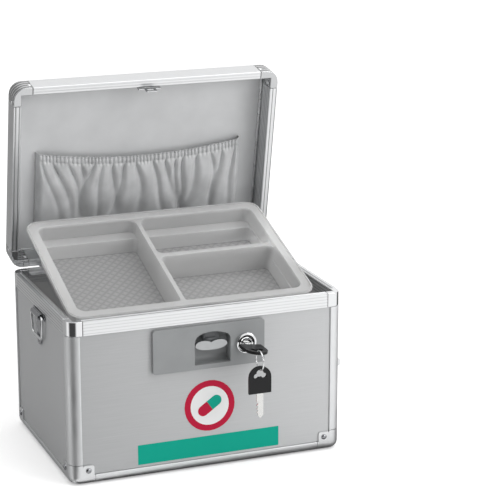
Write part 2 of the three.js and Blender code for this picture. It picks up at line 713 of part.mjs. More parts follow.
// The spare key's bar lies in the foot of the ring, its lower corners just clear of the wire.
const spareBar = ringZ - Math.sqrt(ringInner ** 2 - (KEY.thickness / 2) ** 2) + GAP;
const spareBowBase = spareBar + bowBar - KEY.bowLength;

function buildKeys() {
  const inLock = moved(keySolid('z'), new THREE.Matrix4().makeTranslation(0, bowBase, 0));
  const wire = Array.from({ length: ROUND_STEPS }, (_, i) => {
    const angle = (i / ROUND_STEPS) * FULL_TURN;
    return [ringY + KEY_RING.radius * Math.cos(angle), ringZ + KEY_RING.radius * Math.sin(angle)];
  });
  const hanging = new THREE.Matrix4().makeRotationY(Math.PI);
  place(part, 'key_in_lock', 'black', atLock(inLock));
  place(part, 'key_ring', 'chrome', wireLoop(CYLINDER.centre, wire, KEY_RING.wire, ARC_STEPS));
  place(part, 'spare_key', 'black', moved(
    keySolid('y'), hanging.setPosition(CYLINDER.centre, ringY, spareBowBase),
  ));
}

// Side rings

// The plate lies on the panel with a rolled barrel across its head and a riveted tab at its foot.
function ringPlate() {
  const face = halfWidth - PANEL.inset + GAP;
  const { barLength, barHeight, barCorner, stripWidth, drop } = RING_PLATE;
  const { thickness, tabCorner, barrelLength, barrelRadius } = RING_PLATE;
  const { rivetLift, rivetRadius, rivetRise } = RING_PLATE;
  const skin = [face, face + thickness];
  const centre = ringPlane();
  const foot = ringHeight - drop;
  const bar = prism(rounded(around(0, barLength), around(ringHeight, barHeight), barCorner), 'x', skin);
  const strip = prism(
    rounded(around(0, stripWidth), [foot, ringHeight], [tabCorner, tabCorner, 0, 0]), 'x', skin,
  );
  const barrel = rod('x', [0, 0], barrelRadius, around(0, barrelLength), SMALL_STEPS);
  const sideways = new THREE.Matrix4().makeRotationZ(Math.PI / 2).setPosition(centre, 0, ringHeight);
  const web = block([face, centre], around(0, barrelLength), around(ringHeight, 2 * barrelRadius));
  const bore = rod('x', [0, 0], SIDE_RING.wire + SIDE_RING.play, around(0, 2 * barrelLength), SMALL_STEPS);
  const head = rivet([skin[1], 0, foot + rivetLift], [1, 0, 0], rivetRadius, rivetRise);
  return cut(union([bar, strip, web, moved(barrel, sideways), head]), moved(bore, sideways));
}

function ringPlane() {
  return halfWidth - PANEL.inset + GAP + RING_PLATE.barrelRadius;
}

function buildSideRings() {
  const top = ringHeight;
  const foot = top - SIDE_RING.height;
  const wide = SIDE_RING.topWidth / 2;
  const narrow = SIDE_RING.bottomWidth / 2;
  const loop = softened([[-wide, top], [-narrow, foot], [narrow, foot], [wide, top]], SIDE_RING.bend);
  const plate = ringPlate();
  const wire = wireLoop(ringPlane(), loop, SIDE_RING.wire, ARC_STEPS + 2);
  const half = new THREE.Matrix4().makeRotationZ(Math.PI);
  place(part, 'ring_plate_right', 'chrome', plate);
  place(part, 'side_ring_right', 'chrome', wire);
  place(part, 'ring_plate_left', 'chrome', moved(plate, half));
  place(part, 'side_ring_left', 'chrome', moved(wire, half));
}

// Lid shell

function lidSection(axis, out) {
  const wall = railPrism(axis, out, rectangle(LID.wall, [lidBottom, lidTop]), LID.cornerLeg + GAP);
  const flange = railPrism(axis, out, rectangle(LID.flange, [flangeLow, lidTop]), LID.cornerLeg + GAP);
  return wall.add(flange).intersect(lidEnvelope);
}

function lidCorner(corner) {
  const wall = elbow(corner, LID.cornerLeg, LID.wall, [lidBottom, lidTop]);
  const flange = elbow(corner, LID.cornerLeg, LID.flange, [flangeLow, lidTop]);
  return wall.add(flange).intersect(lidEnvelope);
}

// The strike lies on the lid's inner wall and its slotted tip hangs down into the case.
function strike() {
  const { width, thickness, standOff, rise, drop } = STRIKE;
  const { tipWidth, tipDrop, slotWidth, slotHeight, slotLift } = STRIKE;
  const wall = -halfDepth + LID.wall + GAP;
  const tip = CASE.height - drop;
  const shoulder = lidBottom - tipDrop;
  const plate = block(around(0, width), [wall, wall + thickness], [shoulder, lidBottom + rise]);
  const tongue = block(around(0, tipWidth), [wall, wall + thickness], [tip, lidBottom]);
  const relief = block(
    around(0, width + 2 * OVERRUN), [wall - OVERRUN, wall + standOff], [tip - OVERRUN, lidBottom],
  );
  const slot = block(
    around(0, slotWidth),
    [wall - OVERRUN, wall + thickness + OVERRUN],
    [tip + slotLift, tip + slotLift + slotHeight],
  );
  return cut(plate.add(tongue), relief, slot);
}

// How far the cloth stands off the lining: u runs across from -1 to 1, v from the hem to the seam.
function pocketRise(u, v) {
  const inwards = Math.min(1, (1 - Math.abs(u)) / POCKET_EDGE_SHARE);
  const edge = Math.sqrt(inwards * (2 - inwards));
  const swell = Math.sin(Math.PI * v);
  const slack = POCKET.mouthDepth * (1 - v) + POCKET.bellyDepth * swell;
  const depth = POCKET.foldDepth * (1 - v) * (POCKET_HEM_SHARE + (1 - POCKET_HEM_SHARE) * swell);
  const sway = POCKET_SWAY_SHARE * Math.sin(3 * u + 2 * v);
  return GAP + edge * (slack + depth * Math.sin(Math.PI * POCKET_FOLDS * (u + sway)));
}

function pocket() {
  const seam = halfDepth - POCKET.seamToHinge;
  const width = CASE.width - 2 * POCKET.sideRoom;
  const row = POCKET_COLUMN_STEPS + 1;
  const skin = row * (POCKET_ROW_STEPS + 1);
  const positions = [];
  for (const layer of [0, 1]) {
    for (let r = 0; r <= POCKET_ROW_STEPS; r += 1) {
      for (let c = 0; c <= POCKET_COLUMN_STEPS; c += 1) {
        const u = (c / POCKET_COLUMN_STEPS) * 2 - 1;
        const v = r / POCKET_ROW_STEPS;
        const hem = -halfDepth + POCKET.hemMiddle + (POCKET.hemSide - POCKET.hemMiddle) * u * u;
        const z = liningLow - pocketRise(u, v) - layer * POCKET.thickness;
        positions.push((u * width) / 2, hem + (seam - hem) * v, z);
      }
    }
  }
  const index = [];
  const quad = (a, b, c, d) => index.push(a, b, c, a, c, d);
  const at = (layer, r, c) => layer * skin + r * row + c;
  const rim = [];
  for (let c = 0; c < POCKET_COLUMN_STEPS; c += 1) rim.push([0, c]);
  for (let r = 0; r < POCKET_ROW_STEPS; r += 1) rim.push([r, POCKET_COLUMN_STEPS]);
  for (let c = POCKET_COLUMN_STEPS; c > 0; c -= 1) rim.push([POCKET_ROW_STEPS, c]);
  for (let r = POCKET_ROW_STEPS; r > 0; r -= 1) rim.push([r, 0]);
  rim.forEach(([r, c], i) => {
    const [nextR, nextC] = rim[(i + 1) % rim.length];
    quad(at(1, r, c), at(1, nextR, nextC), at(0, nextR, nextC), at(0, r, c));
  });
  for (let r = 0; r < POCKET_ROW_STEPS; r += 1) {
    for (let c = 0; c < POCKET_COLUMN_STEPS; c += 1) {
      quad(at(0, r, c), at(0, r, c + 1), at(0, r + 1, c + 1), at(0, r + 1, c));
      quad(at(1, r, c), at(1, r + 1, c), at(1, r + 1, c + 1), at(1, r, c + 1));
    }
  }
  return skinSolid(positions, index);
}

function buildLid() {
  for (const [name, corner] of CORNERS) place(lid, `lid_corner_${name}`, 'chrome', lidCorner(corner));
  for (const [name, axis, out] of SIDES) place(lid, `lid_rail_${name}`, 'rail', lidSection(axis, out));
  const insideX = around(0, CASE.width - 2 * (LID.flange + GAP));
  const insideY = around(0, CASE.depth - 2 * (LID.flange + GAP));
  const liningX = around(0, CASE.width - 2 * (LID.wall + GAP));
  const liningY = around(0, CASE.depth - 2 * (LID.wall + GAP));
  place(lid, 'lid_panel', 'panel', block(insideX, insideY, [flangeLow, lidTop - LID.panelInset]));
  place(lid, 'lid_lining', 'lining', block(liningX, liningY, [liningLow, flangeLow - GAP]));
  place(lid, 'lid_strike', 'satin', strike());
  place(lid, 'lid_pocket', 'cloth', pocket());
}

// Piano hinge

// A leaf with every second knuckle, from its plate's height range to the knuckles' axis.
function hingeLeaf(first, [low, high]) {
  const { knuckleRadius, pinRadius, leafThickness, knuckles } = HINGE;
  const length = CASE.width - 2 * HINGE.endRoom;
  const skin = [halfDepth + GAP, halfDepth + GAP + leafThickness];
  const pitch = length / knuckles;
  const pieces = [block(around(0, length), skin, [low, high])];
  for (let i = first; i < knuckles; i += 2) {
    const start = -length / 2 + i * pitch;
    const span = [start + GAP, start + pitch - GAP];
    const link = low > hingeZ ? [hingeZ, low + GAP] : [high - GAP, hingeZ];
    pieces.push(rod('x', [hingeY, hingeZ], knuckleRadius, span, SMALL_STEPS));
    pieces.push(block(span, skin, link));
  }
  const bore = rod('x', [hingeY, hingeZ], pinRadius + GAP, around(0, length + 2 * OVERRUN), SMALL_STEPS);
  return cut(union(pieces), bore);
}

function buildHinge() {
  const clear = HINGE.knuckleRadius + GAP;
  const below = [hingeZ - clear - HINGE.leafHeight, hingeZ - clear];
  const above = [hingeZ + clear, lidBottom + HINGE.leafHeight];
  place(part, 'hinge_case_leaf', 'satin', hingeLeaf(0, below));
  place(lid, 'hinge_lid_leaf', 'satin', hingeLeaf(1, above));
  place(part, 'hinge_pin', 'satin', rod(
    'x', [hingeY, hingeZ], HINGE.pinRadius, around(0, CASE.width - 2 * HINGE.endRoom), SMALL_STEPS,
  ));
}

// Carry handle, folded towards the hinge

const handleBase = lidTop - LID.panelInset + GAP;
const handleZ = handleBase + HANDLE.pivotRise;

// The bail's plan is a wide arch; its ends are rounded about the pivot so that it folds freely.
function bail() {
  const { span, legWidth, reach, gripWidth, thickness, arch, edge, bend, innerBend } = HANDLE;
  const outer = (span + legWidth) / 2;
  const inner = (span - legWidth) / 2;
  const gripInner = reach - gripWidth;
  const foot = -thickness / 2;
  const shape = new THREE.Shape();
  shape.moveTo(outer, foot);
  shape.lineTo(outer, reach - bend);
  shape.quadraticCurveTo(outer, reach, outer - bend, reach);
  shape.quadraticCurveTo(0, reach + 2 * arch, bend - outer, reach);
  shape.quadraticCurveTo(-outer, reach, -outer, reach - bend);
  shape.lineTo(-outer, foot);
  shape.lineTo(-inner, foot);
  shape.lineTo(-inner, gripInner - innerBend);
  shape.quadraticCurveTo(-inner, gripInner, innerBend - inner, gripInner);
  shape.quadraticCurveTo(0, gripInner + arch, inner - innerBend, gripInner);
  shape.quadraticCurveTo(inner, gripInner, inner, gripInner - innerBend);
  shape.lineTo(inner, foot);
  const body = prism(shape, 'z', around(handleZ, thickness), ARC_STEPS, edge);
  const half = thickness / 2 - WELD;
  const side = rounded([foot, reach + 2 * arch], around(handleZ, thickness), [half, edge, edge, half]);
  const bore = rod(
    'x', [0, handleZ], HANDLE.pinRadius + HANDLE.pinPlay, around(0, 2 * (outer + OVERRUN)), SMALL_STEPS,
  );
  return cut(body.intersect(prism(side, 'x', around(0, 2 * (outer + OVERRUN)))), bore);
}

function handleBracket(centre) {
  const { width, depth, base, corner, earThickness, earRadius, play } = BRACKET;
  const inner = HANDLE.legWidth / 2 + play;
  const foot = [handleBase, handleBase + base];
  const plate = prism(rounded(around(centre, width), around(0, depth), corner), 'z', foot);
  const ears = [-1, 1].flatMap((way) => {
    const span = ordered(centre + way * inner, centre + way * (inner + earThickness));
    return [
      rod('x', [0, handleZ], earRadius, span, SMALL_STEPS),
      block(span, around(0, 2 * earRadius), [handleBase, handleZ]),
    ];
  });
  const pin = rod('x', [0, handleZ], HANDLE.pinRadius, around(centre, 2 * (inner + play)), SMALL_STEPS);
  return union([plate, ...ears, pin]);
}

function buildHandle() {
  place(lid, 'handle_bracket_left', 'chrome', handleBracket(-HANDLE.span / 2));
  place(lid, 'handle_bracket_right', 'chrome', handleBracket(HANDLE.span / 2));
  place(lid, 'carry_handle', 'chrome', bail());
}

// Tray, drawn level with the top of its lip at height 0 and its front left corner at the origin

// The tray's wall from the given bottom up, stepped in at the shoulder, which is a shelf at the rear.
function trayLoft(inset, bottom, top) {
  const { lip, cornerRadius, shoulderDrop, shoulder, shelf, slope, draft } = TRAY;
  const level = (more, rear, z) => {
    const edge = lip + inset + more;
    return roundedRing([edge, trayWidth - edge], [edge, trayDepth - edge - rear], cornerRadius - edge / 2, z);
  };
  const step = inset - shoulderDrop;
  return loft([
    level(2 * draft + shoulder, shelf + slope, bottom),
    level(draft + shoulder, shelf, step - shoulder),
    level(draft, 0, step),
    level(0, 0, top),
  ]);
}

// A divider's section: its middle, its widths at the top and the foot.
function dividerShape(middle, top, foot) {
  return outline([
    [middle - foot / 2, -TRAY.height], [middle + foot / 2, -TRAY.height],
    [middle + top / 2, -TRAY.dividerDrop], [middle - top / 2, -TRAY.dividerDrop],
  ]);
}

function trayShell() {
  const { lipThickness, cornerRadius, height, wall, floor, dividerDrop } = TRAY;
  const split = trayWidth * TRAY_SPLIT_SHARE;
  const cross = trayDepth * TRAY_CROSS_SHARE;
  const lip = prism(rounded([0, trayWidth], [0, trayDepth], cornerRadius), 'z', [-lipThickness, 0]);
  const body = trayLoft(0, -height, -lipThickness / 2);
  const hollow = trayLoft(wall, -height + floor, OVERRUN);
  const dividers = prism(dividerShape(split, TRAY.dividerTop, TRAY.dividerFoot), 'y', [0, trayDepth]).add(
    prism(dividerShape(cross, TRAY.crossTop, TRAY.crossFoot), 'x', [split, trayWidth]),
  );
  const joined = dividers.intersect(trayLoft(wall / 2, -height + floor / 2, -dividerDrop + GAP));
  return cut(lip.add(body), hollow).add(joined);
}

// The tray turns about the lower front edge of its lip, which keeps to the ledge.
function buildTray() {
  const seatHeight = CASE.height - TOP_RAIL.ledgeDrop + GAP;
  const left = -halfWidth + TOP_RAIL.rim + TRAY.sideGap;
  const turn = new THREE.Matrix4().makeTranslation(left, -rimInner + TRAY.frontRoom, seatHeight);
  turn.multiply(new THREE.Matrix4().makeRotationX(deg(TRAY_TILT)));
  turn.multiply(new THREE.Matrix4().makeTranslation(0, 0, TRAY.lipThickness));
  place(part, 'tray', 'tray', moved(trayShell(), turn));
}

// Shoulder strap, folded on the floor behind the case

const strapMiddle = halfDepth + STRAP.behind;
const strapFloor = STRAP.thickness / 2;
const tailRun = strapFloor + STRAP.thickness + STRAP.tailGap;
const barLow = STRAP.thickness + HOOK.play;
const wrapTop = HOOK.thickness + HOOK.play + STRAP.thickness / 2;
const leftBar = STRAP.shift - STRAP.fold / 2 - STRAP.lead;
const rightBar = STRAP.shift + STRAP.fold / 2 + STRAP.trail + STRAP.trailLead;

// One end of the strap, from its tail round a hook's bar to the floor, by distance from the bar.
function wrappedEnd(runEnd) {
  const radius = (wrapTop - strapFloor) / 2;
  const middle = (wrapTop + strapFloor) / 2;
  const points = [[STRAP.tail, strapFloor]];
  for (let s = 0; s <= ARC_STEPS; s += 1) {
    const angle = (s / ARC_STEPS) * Math.PI;
    points.push([-radius * Math.sin(angle) - STRAP.wrapShift, middle - radius * Math.cos(angle)]);
  }
  points.push([HOOK.bar, wrapTop], [HOOK.bar + STRAP.slope, tailRun], [runEnd, tailRun]);
  points.push([runEnd + STRAP.slope, strapFloor]);
  return points;
}

// The strap's middle line in (x, z), from the left hook through the folds to the right hook.
function strapLine() {
  const half = STRAP.fold / 2;
  const bend = STRAP.layerPitch / 2;
  const points = wrappedEnd(KEEPER.place + KEEPER.length / 2 + KEEPER.play).map(([s, z]) => [leftBar + s, z]);
  for (let i = 0; i + 1 < STRAP_LAYERS; i += 1) {
    const way = i % 2 ? -1 : 1;
    for (let s = 0; s <= ARC_STEPS; s += 1) {
      const angle = (s / ARC_STEPS) * Math.PI;
      const x = STRAP.shift + way * (half + bend * Math.sin(angle));
      points.push([x, strapFloor + i * STRAP.layerPitch + bend - bend * Math.cos(angle)]);
    }
  }
  const top = strapFloor + (STRAP_LAYERS - 1) * STRAP.layerPitch;
  const start = half + STRAP.layerPitch;
  for (let s = 0; s <= SMALL_STEPS; s += 1) {
    const share = s / SMALL_STEPS;
    const x = STRAP.shift + start + (half + STRAP.trail - start) * share;
    points.push([x, strapFloor + ((top - strapFloor) * (1 + Math.cos(Math.PI * share))) / 2]);
  }
  const end = wrappedEnd(STRAP.tail + STRAP.overlap).map(([s, z]) => [rightBar - s, z]);
  return [...points, ...end.reverse()].map(([x, z]) => new THREE.Vector2(x, z));
}

// Thickens a middle line into an outline of even thickness.
function ribbon(line, thickness) {
  const upper = [];
  const lower = [];
  line.forEach((point, i) => {
    const before = point.clone().sub(line[Math.max(0, i - 1)]).normalize();
    const after = line[Math.min(line.length - 1, i + 1)].clone().sub(point).normalize();
    const along = before.clone().add(after).normalize();
    const mitre = Math.max(along.dot(before), along.dot(after));
    const side = new THREE.Vector2(-along.y, along.x).multiplyScalar(thickness / 2 / mitre);
    upper.push([point.x + side.x, point.y + side.y]);
    lower.push([point.x - side.x, point.y - side.y]);
  });
  return outline([...upper, ...lower.reverse()]);
}

// The least gap between stretches that lie at least half a fold's turn apart along the strap.
function leastGap(line) {
  const samples = [];
  let length = 0;
  for (let i = 0; i + 1 < line.length; i += 1) {
    const run = line[i].distanceTo(line[i + 1]);
    const count = Math.ceil(run / STRAP.sample);
    for (let s = 0; s < count; s += 1) {
      const point = line[i].clone().lerp(line[i + 1], s / count);
      samples.push([point.x, point.y, length + (run * s) / count]);
    }
    length += run;
  }
  const apart = (Math.PI * STRAP.layerPitch) / 2;
  let least = Infinity;
  samples.forEach(([x, z, at], i) => {
    for (const [otherX, otherZ, otherAt] of samples.slice(i + 1)) {
      if (otherAt - at >= apart) least = Math.min(least, Math.hypot(otherX - x, otherZ - z));
    }
  });
  return { gap: least - STRAP.thickness, length };
}

// A flat snap hook: the strap's loop with its raised bar, the neck and the closed hook eye.
function snapHook(bar, way) {
  const wide = STRAP.width + 2 * HOOK.sidePlay;
  const x = (from, to) => ordered(bar + way * from, bar + way * to);
  const height = [0, HOOK.thickness];
  const through = [-OVERRUN, HOOK.thickness + OVERRUN];
  const slotEnd = HOOK.bar / 2 + HOOK.slotLength;
  const loopEnd = slotEnd + HOOK.frame;
  const bodyStart = loopEnd + HOOK.neckLength;
  const eyeStart = bodyStart + HOOK.wall;
  const eyeEnd = bodyStart + HOOK.bodyLength - HOOK.wall;
  const loop = block(x(-HOOK.bar / 2, loopEnd), around(strapMiddle, wide + 2 * HOOK.frame), height);
  const neck = block(x(loopEnd - GAP, bodyStart + HOOK.wall), around(strapMiddle, HOOK.neckWidth), height);
  const bodySpan = x(bodyStart, bodyStart + HOOK.bodyLength);
  const body = prism(rounded(bodySpan, around(strapMiddle, HOOK.bodyWidth), HOOK.corner), 'z', height);
  const slot = block(x(HOOK.bar / 2, slotEnd), around(strapMiddle, wide), through);
  const underBar = block(x(-HOOK.bar, HOOK.bar), around(strapMiddle, wide), [-OVERRUN, barLow]);
  const eyeWidth = HOOK.bodyWidth - 2 * HOOK.wall;
  const eyeShape = rounded(x(eyeStart, eyeEnd), around(strapMiddle, eyeWidth), HOOK.corner - HOOK.wall);
  const eye = prism(eyeShape, 'z', through);
  return cut(union([loop, cut(body, eye), neck]), slot, underBar);
}

function keeper() {
  const hole = STRAP.thickness / 2 + KEEPER.play;
  const wide = STRAP.width + 2 * KEEPER.play;
  const x = around(leftBar + KEEPER.place, KEEPER.length);
  const shell = block(x, around(strapMiddle, wide + 2 * KEEPER.wall), [0, tailRun + hole + KEEPER.wall]);
  const room = block(
    around(leftBar + KEEPER.place, KEEPER.length + 2 * OVERRUN), around(strapMiddle, wide),
    [tailRun - hole, tailRun + hole],
  );
  return cut(shell, room);
}

function shoulderPad() {
  const low = strapFloor + (STRAP_LAYERS - 1) * STRAP.layerPitch + STRAP.thickness / 2 + GAP;
  return loft(PAD_LEVEL_SHARES.map(([inShare, upShare]) => {
    const inset = PAD.crown * inShare;
    return roundedRing(
      around(STRAP.shift, PAD.length - 2 * inset), around(strapMiddle, PAD.width - 2 * inset),
      PAD.cornerRadius - inset, low + PAD.height * upShare,
    );
  }));
}

function buildStrap() {
  const line = strapLine();
  const { gap, length } = leastGap(line);
  console.log(`strap_webbing: ${length.toFixed(0)} mm long, least gap to itself ${gap.toFixed(2)} mm`);
  const across = around(strapMiddle, STRAP.width);
  place(part, 'strap_webbing', 'black', prism(ribbon(line, STRAP.thickness), 'y', across));
  place(part, 'snap_hook_left', 'chrome', snapHook(leftBar, -1));
  place(part, 'snap_hook_right', 'chrome', snapHook(rightBar, 1));
  place(part, 'strap_slider', 'black', keeper());
  place(part, 'shoulder_pad', 'black', shoulderPad());
}

buildFrame();
buildPanels();
buildLock();
buildKeys();
buildSideRings();
buildLid();
buildHinge();
buildHandle();
buildTray();
buildStrap();

export default part;
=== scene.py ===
"""Medication lock box: the finished look of an aluminium framed case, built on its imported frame."""
from __future__ import annotations

import json
import logging
import math
from dataclasses import dataclass, field
from enum import Enum
from itertools import product
from typing import Any, Callable, Iterable, Sequence

import bmesh
import bpy
from mathutils import Matrix, Vector

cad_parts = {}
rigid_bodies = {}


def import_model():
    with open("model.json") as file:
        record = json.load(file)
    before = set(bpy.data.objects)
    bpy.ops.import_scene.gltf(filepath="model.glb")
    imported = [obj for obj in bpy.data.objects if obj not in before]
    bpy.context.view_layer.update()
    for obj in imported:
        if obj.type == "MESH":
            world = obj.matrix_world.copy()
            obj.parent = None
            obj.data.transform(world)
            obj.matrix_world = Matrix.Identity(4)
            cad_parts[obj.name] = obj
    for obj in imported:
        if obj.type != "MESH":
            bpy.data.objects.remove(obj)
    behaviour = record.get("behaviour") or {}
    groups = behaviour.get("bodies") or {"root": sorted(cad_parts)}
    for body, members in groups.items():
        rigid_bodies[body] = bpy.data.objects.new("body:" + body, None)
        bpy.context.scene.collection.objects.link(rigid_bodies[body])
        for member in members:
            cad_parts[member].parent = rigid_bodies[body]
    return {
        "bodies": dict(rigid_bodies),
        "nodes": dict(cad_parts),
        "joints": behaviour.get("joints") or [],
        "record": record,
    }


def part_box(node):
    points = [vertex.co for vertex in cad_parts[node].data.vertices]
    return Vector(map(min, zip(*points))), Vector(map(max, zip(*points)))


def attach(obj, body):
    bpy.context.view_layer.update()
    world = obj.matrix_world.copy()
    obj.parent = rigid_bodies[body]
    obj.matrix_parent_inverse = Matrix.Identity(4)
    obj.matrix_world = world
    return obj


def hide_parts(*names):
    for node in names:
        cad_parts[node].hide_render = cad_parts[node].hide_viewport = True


LOG = logging.getLogger("lock_box")
MM = 0.001
CORNERS = ("front_left", "front_right", "rear_left", "rear_right")
SIDES = ("front", "rear", "left", "right")
LID_OPEN = math.radians(79)
Point = tuple[float, float]
Way = tuple[float, float, float]
Level = tuple[Point, Point, float, float]
Mesh = bmesh.types.BMesh
Material = bpy.types.Material
Object = bpy.types.Object
Socket = bpy.types.NodeSocket


def linear(code: str) -> tuple[float, float, float, float]:
    """Turns an sRGB hex value into a linear colour.

    Args:
        code: six hex digits.

    Returns:
        Linear red, green and blue, and an alpha of 1.
    """
    values = [int(code[i:i + 2], 16) / 255 for i in (0, 2, 4)]
    bright = [v / 12.92 if v <= 0.04045 else ((v + 0.055) / 1.055) ** 2.4 for v in values]
    return (bright[0], bright[1], bright[2], 1.0)


@dataclass
class Graph:
    """A node tree, and the shader that its nodes feed."""

    tree: bpy.types.NodeTree
    shader: bpy.types.Node

    def feed(self, values: dict[Any, Any], node: bpy.types.Node | None = None) -> None:
        """Sets or links inputs of the shader, or of another node.

        Args:
            values: each input's name or number, and a value or another node's output.
            node: the node, where it isn't the shader.
        """
        for name, value in values.items():
            socket = (node or self.shader).inputs[name]
            if isinstance(value, Socket):
                self.tree.links.new(value, socket)
            else:
                socket.default_value = value

    def add(
        self, kind: str, values: dict[Any, Any] | None = None, out: int | str = 0, **settings: Any
    ) -> Socket:
        """Adds one node with its settings, and feeds its inputs.

        Args:
            kind: the shader node's kind.
            values: what its inputs take.
            out: the output to give back.
            **settings: the node's own properties.

        Returns:
            That output.
        """
        made = self.tree.nodes.new("ShaderNode" + kind)
        for name, value in settings.items():
            setattr(made, name, value)
        self.feed(values or {}, made)
        return made.outputs[out]


# Finishes


@dataclass(frozen=True)
class Finish:
    """One surface finish. Each kind adds its own detail to the same shader."""

    name: str
    colour: str
    roughness: float
    metallic: float = 0.0

    def make(self) -> Material:
        """Makes the material with its detail.

        Returns:
            The material.
        """
        material = bpy.data.materials.new(self.name)
        material.use_nodes = True
        graph = Graph(material.node_tree, material.node_tree.nodes["Principled BSDF"])
        colour = linear(self.colour)
        graph.feed({"Base Color": colour, "Roughness": self.roughness, "Metallic": self.metallic})
        self.detail(graph)
        return material

    def detail(self, graph: Graph) -> None:
        """Adds what makes this finish more than a flat colour."""

    def place(self, graph: Graph, turn: float = 0.0) -> Socket:
        """Gives object coordinates in millimetres, turned about X by some radians."""
        place = graph.add("TexCoord", out="Object")
        return graph.add("Mapping", {"Vector": place, "Rotation": (turn, 0, 0), "Scale": (1 / MM,) * 3})

    def grains(self, graph: Graph, place: Socket, size: float) -> Socket:
        """Gives noise whose grains are about size millimetres across."""
        return graph.add("TexNoise", {"Vector": place, "Scale": 1 / size, "Detail": 2.0})

    def wave(self, graph: Graph, along: Socket, pitch: float) -> Socket:
        """Gives a sine that repeats every pitch along a value."""
        phase = graph.add("Math", {0: along, 1: math.tau / pitch}, operation="MULTIPLY")
        return graph.add("Math", {0: phase}, operation="SINE")

    def relief(self, graph: Graph, height: Socket, depth: float, pull: float) -> None:
        """Drives the shader's normal from a height of about depth millimetres."""
        values = {"Height": height, "Distance": depth * MM, "Strength": pull}
        graph.feed({"Normal": graph.add("Bump", values)})

    def vary(self, graph: Graph, share: Socket, low: str, high: str, ends: Point = (0.3, 0.7)) -> Socket:
        """Gives a colour that goes from low to high as the share goes from end to end.

        Args:
            graph: the finish's nodes.
            share: a value from 0 to 1.
            low: the colour at the first end.
            high: the colour at the second end.
            ends: the two shares.

        Returns:
            The colour's output.
        """
        ramp = graph.add("ValToRGB", {"Fac": share})
        for stop, end, colour in zip(ramp.node.color_ramp.elements, ends, (low, high)):
            stop.position = end
            stop.color = linear(colour)
        return ramp

    def rough(self, graph: Graph, share: Socket, spread: float) -> None:
        """Moves the roughness a little either way."""
        values = {"Value": share, "To Min": self.roughness - spread, "To Max": self.roughness + spread}
        graph.feed({"Roughness": graph.add("MapRange", values)})


@dataclass(frozen=True)
class BrushedSheet(Finish):
    """Silver laminate, brushed one way outside, with a plain pale liner on its inner face, drawn paler still
    as painted light for the shaded inside of the case.
    """

    low: str = "A8A9AA"
    high: str = "C8C9CA"
    # the liner's pale colour, raised near white as painted light where little light reaches inside the case
    inner: str = "F0F0F0"
    grain: Way = (46.0, 0.7, 0.7)
    # painted shade: how far the colour runs from dark at the left to bright at the right
    shade_drift_share: float = 0.35
    streak_share: float = 0.5
    half_x: float = 156.0
    half_y: float = 108.5
    skin: float = 4.0
    spread: float = 0.05
    scratch: Point = (0.03, 0.3)

    def detail(self, graph: Graph) -> None:
        """Stretches noise along the brushing, paints shade across the sheet, darker at the left and lighter
        at the right, and lines the inside.

        Args:
            graph: the finish's nodes and shader.
        """
        place = self.place(graph)
        stretched = graph.add("Mapping", {"Vector": place, "Scale": [1 / size for size in self.grain]})
        streaks = graph.add("TexNoise", {"Vector": stretched, "Scale": 1.0, "Detail": 3.0})
        self.rough(graph, streaks, self.spread)
        self.relief(graph, streaks, *self.scratch)
        middle = (1 - self.streak_share) / 2
        # painted shade: darker towards the sheet's left end, lighter towards its right end
        shade_drift = graph.add("MapRange", {
            "Value": graph.add("SeparateXYZ", {0: place}, "X"),
            "From Min": -self.half_x, "From Max": self.half_x,
            "To Min": middle - self.shade_drift_share, "To Max": middle + self.shade_drift_share,
        })
        tone = graph.add("Math", {0: streaks, 1: self.streak_share, 2: shade_drift}, operation="MULTIPLY_ADD")
        outside = self.vary(graph, tone, self.low, self.high, (0, 1))
        size = graph.add("VectorMath", {0: place}, operation="ABSOLUTE")
        inside = 1.0
        under = "LESS_THAN"
        tests = (("X", self.half_x, under), ("Y", self.half_y, under), ("Z", self.skin, "GREATER_THAN"))
        for axis, limit, test in tests:
            kept = graph.add("Math", {0: graph.add("SeparateXYZ", {0: size}, axis), 1: limit}, operation=test)
            inside = graph.add("Math", {0: kept, 1: inside}, operation="MULTIPLY")
        # the inner faces take the liner colour, which is partly painted light
        values = {0: inside, 6: outside, 7: linear(self.inner)}
        graph.feed({"Base Color": graph.add("Mix", values, 2, data_type="RGBA")})


@dataclass(frozen=True)
class RibbedExtrusion(Finish):
    """Anodised aluminium extrusion: a bright satin metal with fine ribs along its length."""

    across: Way = (0, 1, 1)
    turn: float = 0.0
    pitch: float = 3.4
    depth: float = 0.16
    # painted shade: the darker colour laid in the grooves
    groove_shade: str = "CCCDCE"
    groove_shade_share: float = 0.22
    pull: float = 0.35
    cloud: float = 9.0
    spread: float = 0.04

    def detail(self, graph: Graph) -> None:
        """Ribs the metal across its run, paints shade into the grooves and clouds its gloss.

        Args:
            graph: the finish's nodes and shader.
        """
        place = self.place(graph, self.turn)
        along = graph.add("VectorMath", {0: place, 1: self.across}, 1, operation="DOT_PRODUCT")
        wave = self.wave(graph, along, self.pitch)
        self.relief(graph, wave, self.depth, self.pull)
        share = graph.add("MapRange", {"Value": wave, "From Min": -1.0})
        # painted shade: the grooves' colour is darker than the metal's own
        graph.feed({"Base Color": self.vary(graph, share, self.groove_shade, self.colour, (0, self.groove_shade_share))})
        self.rough(graph, self.grains(graph, place, self.cloud), self.spread)


@dataclass(frozen=True)
class PolishedMetal(Finish):
    """Plated or polished metal: bright, with a faint clouding from handling."""

    smudge: float = 14.0
    spread_share: float = 0.4

    def detail(self, graph: Graph) -> None:
        """Clouds the gloss a little."""
        smudges = self.grains(graph, self.place(graph), self.smudge)
        self.rough(graph, smudges, self.roughness * self.spread_share)


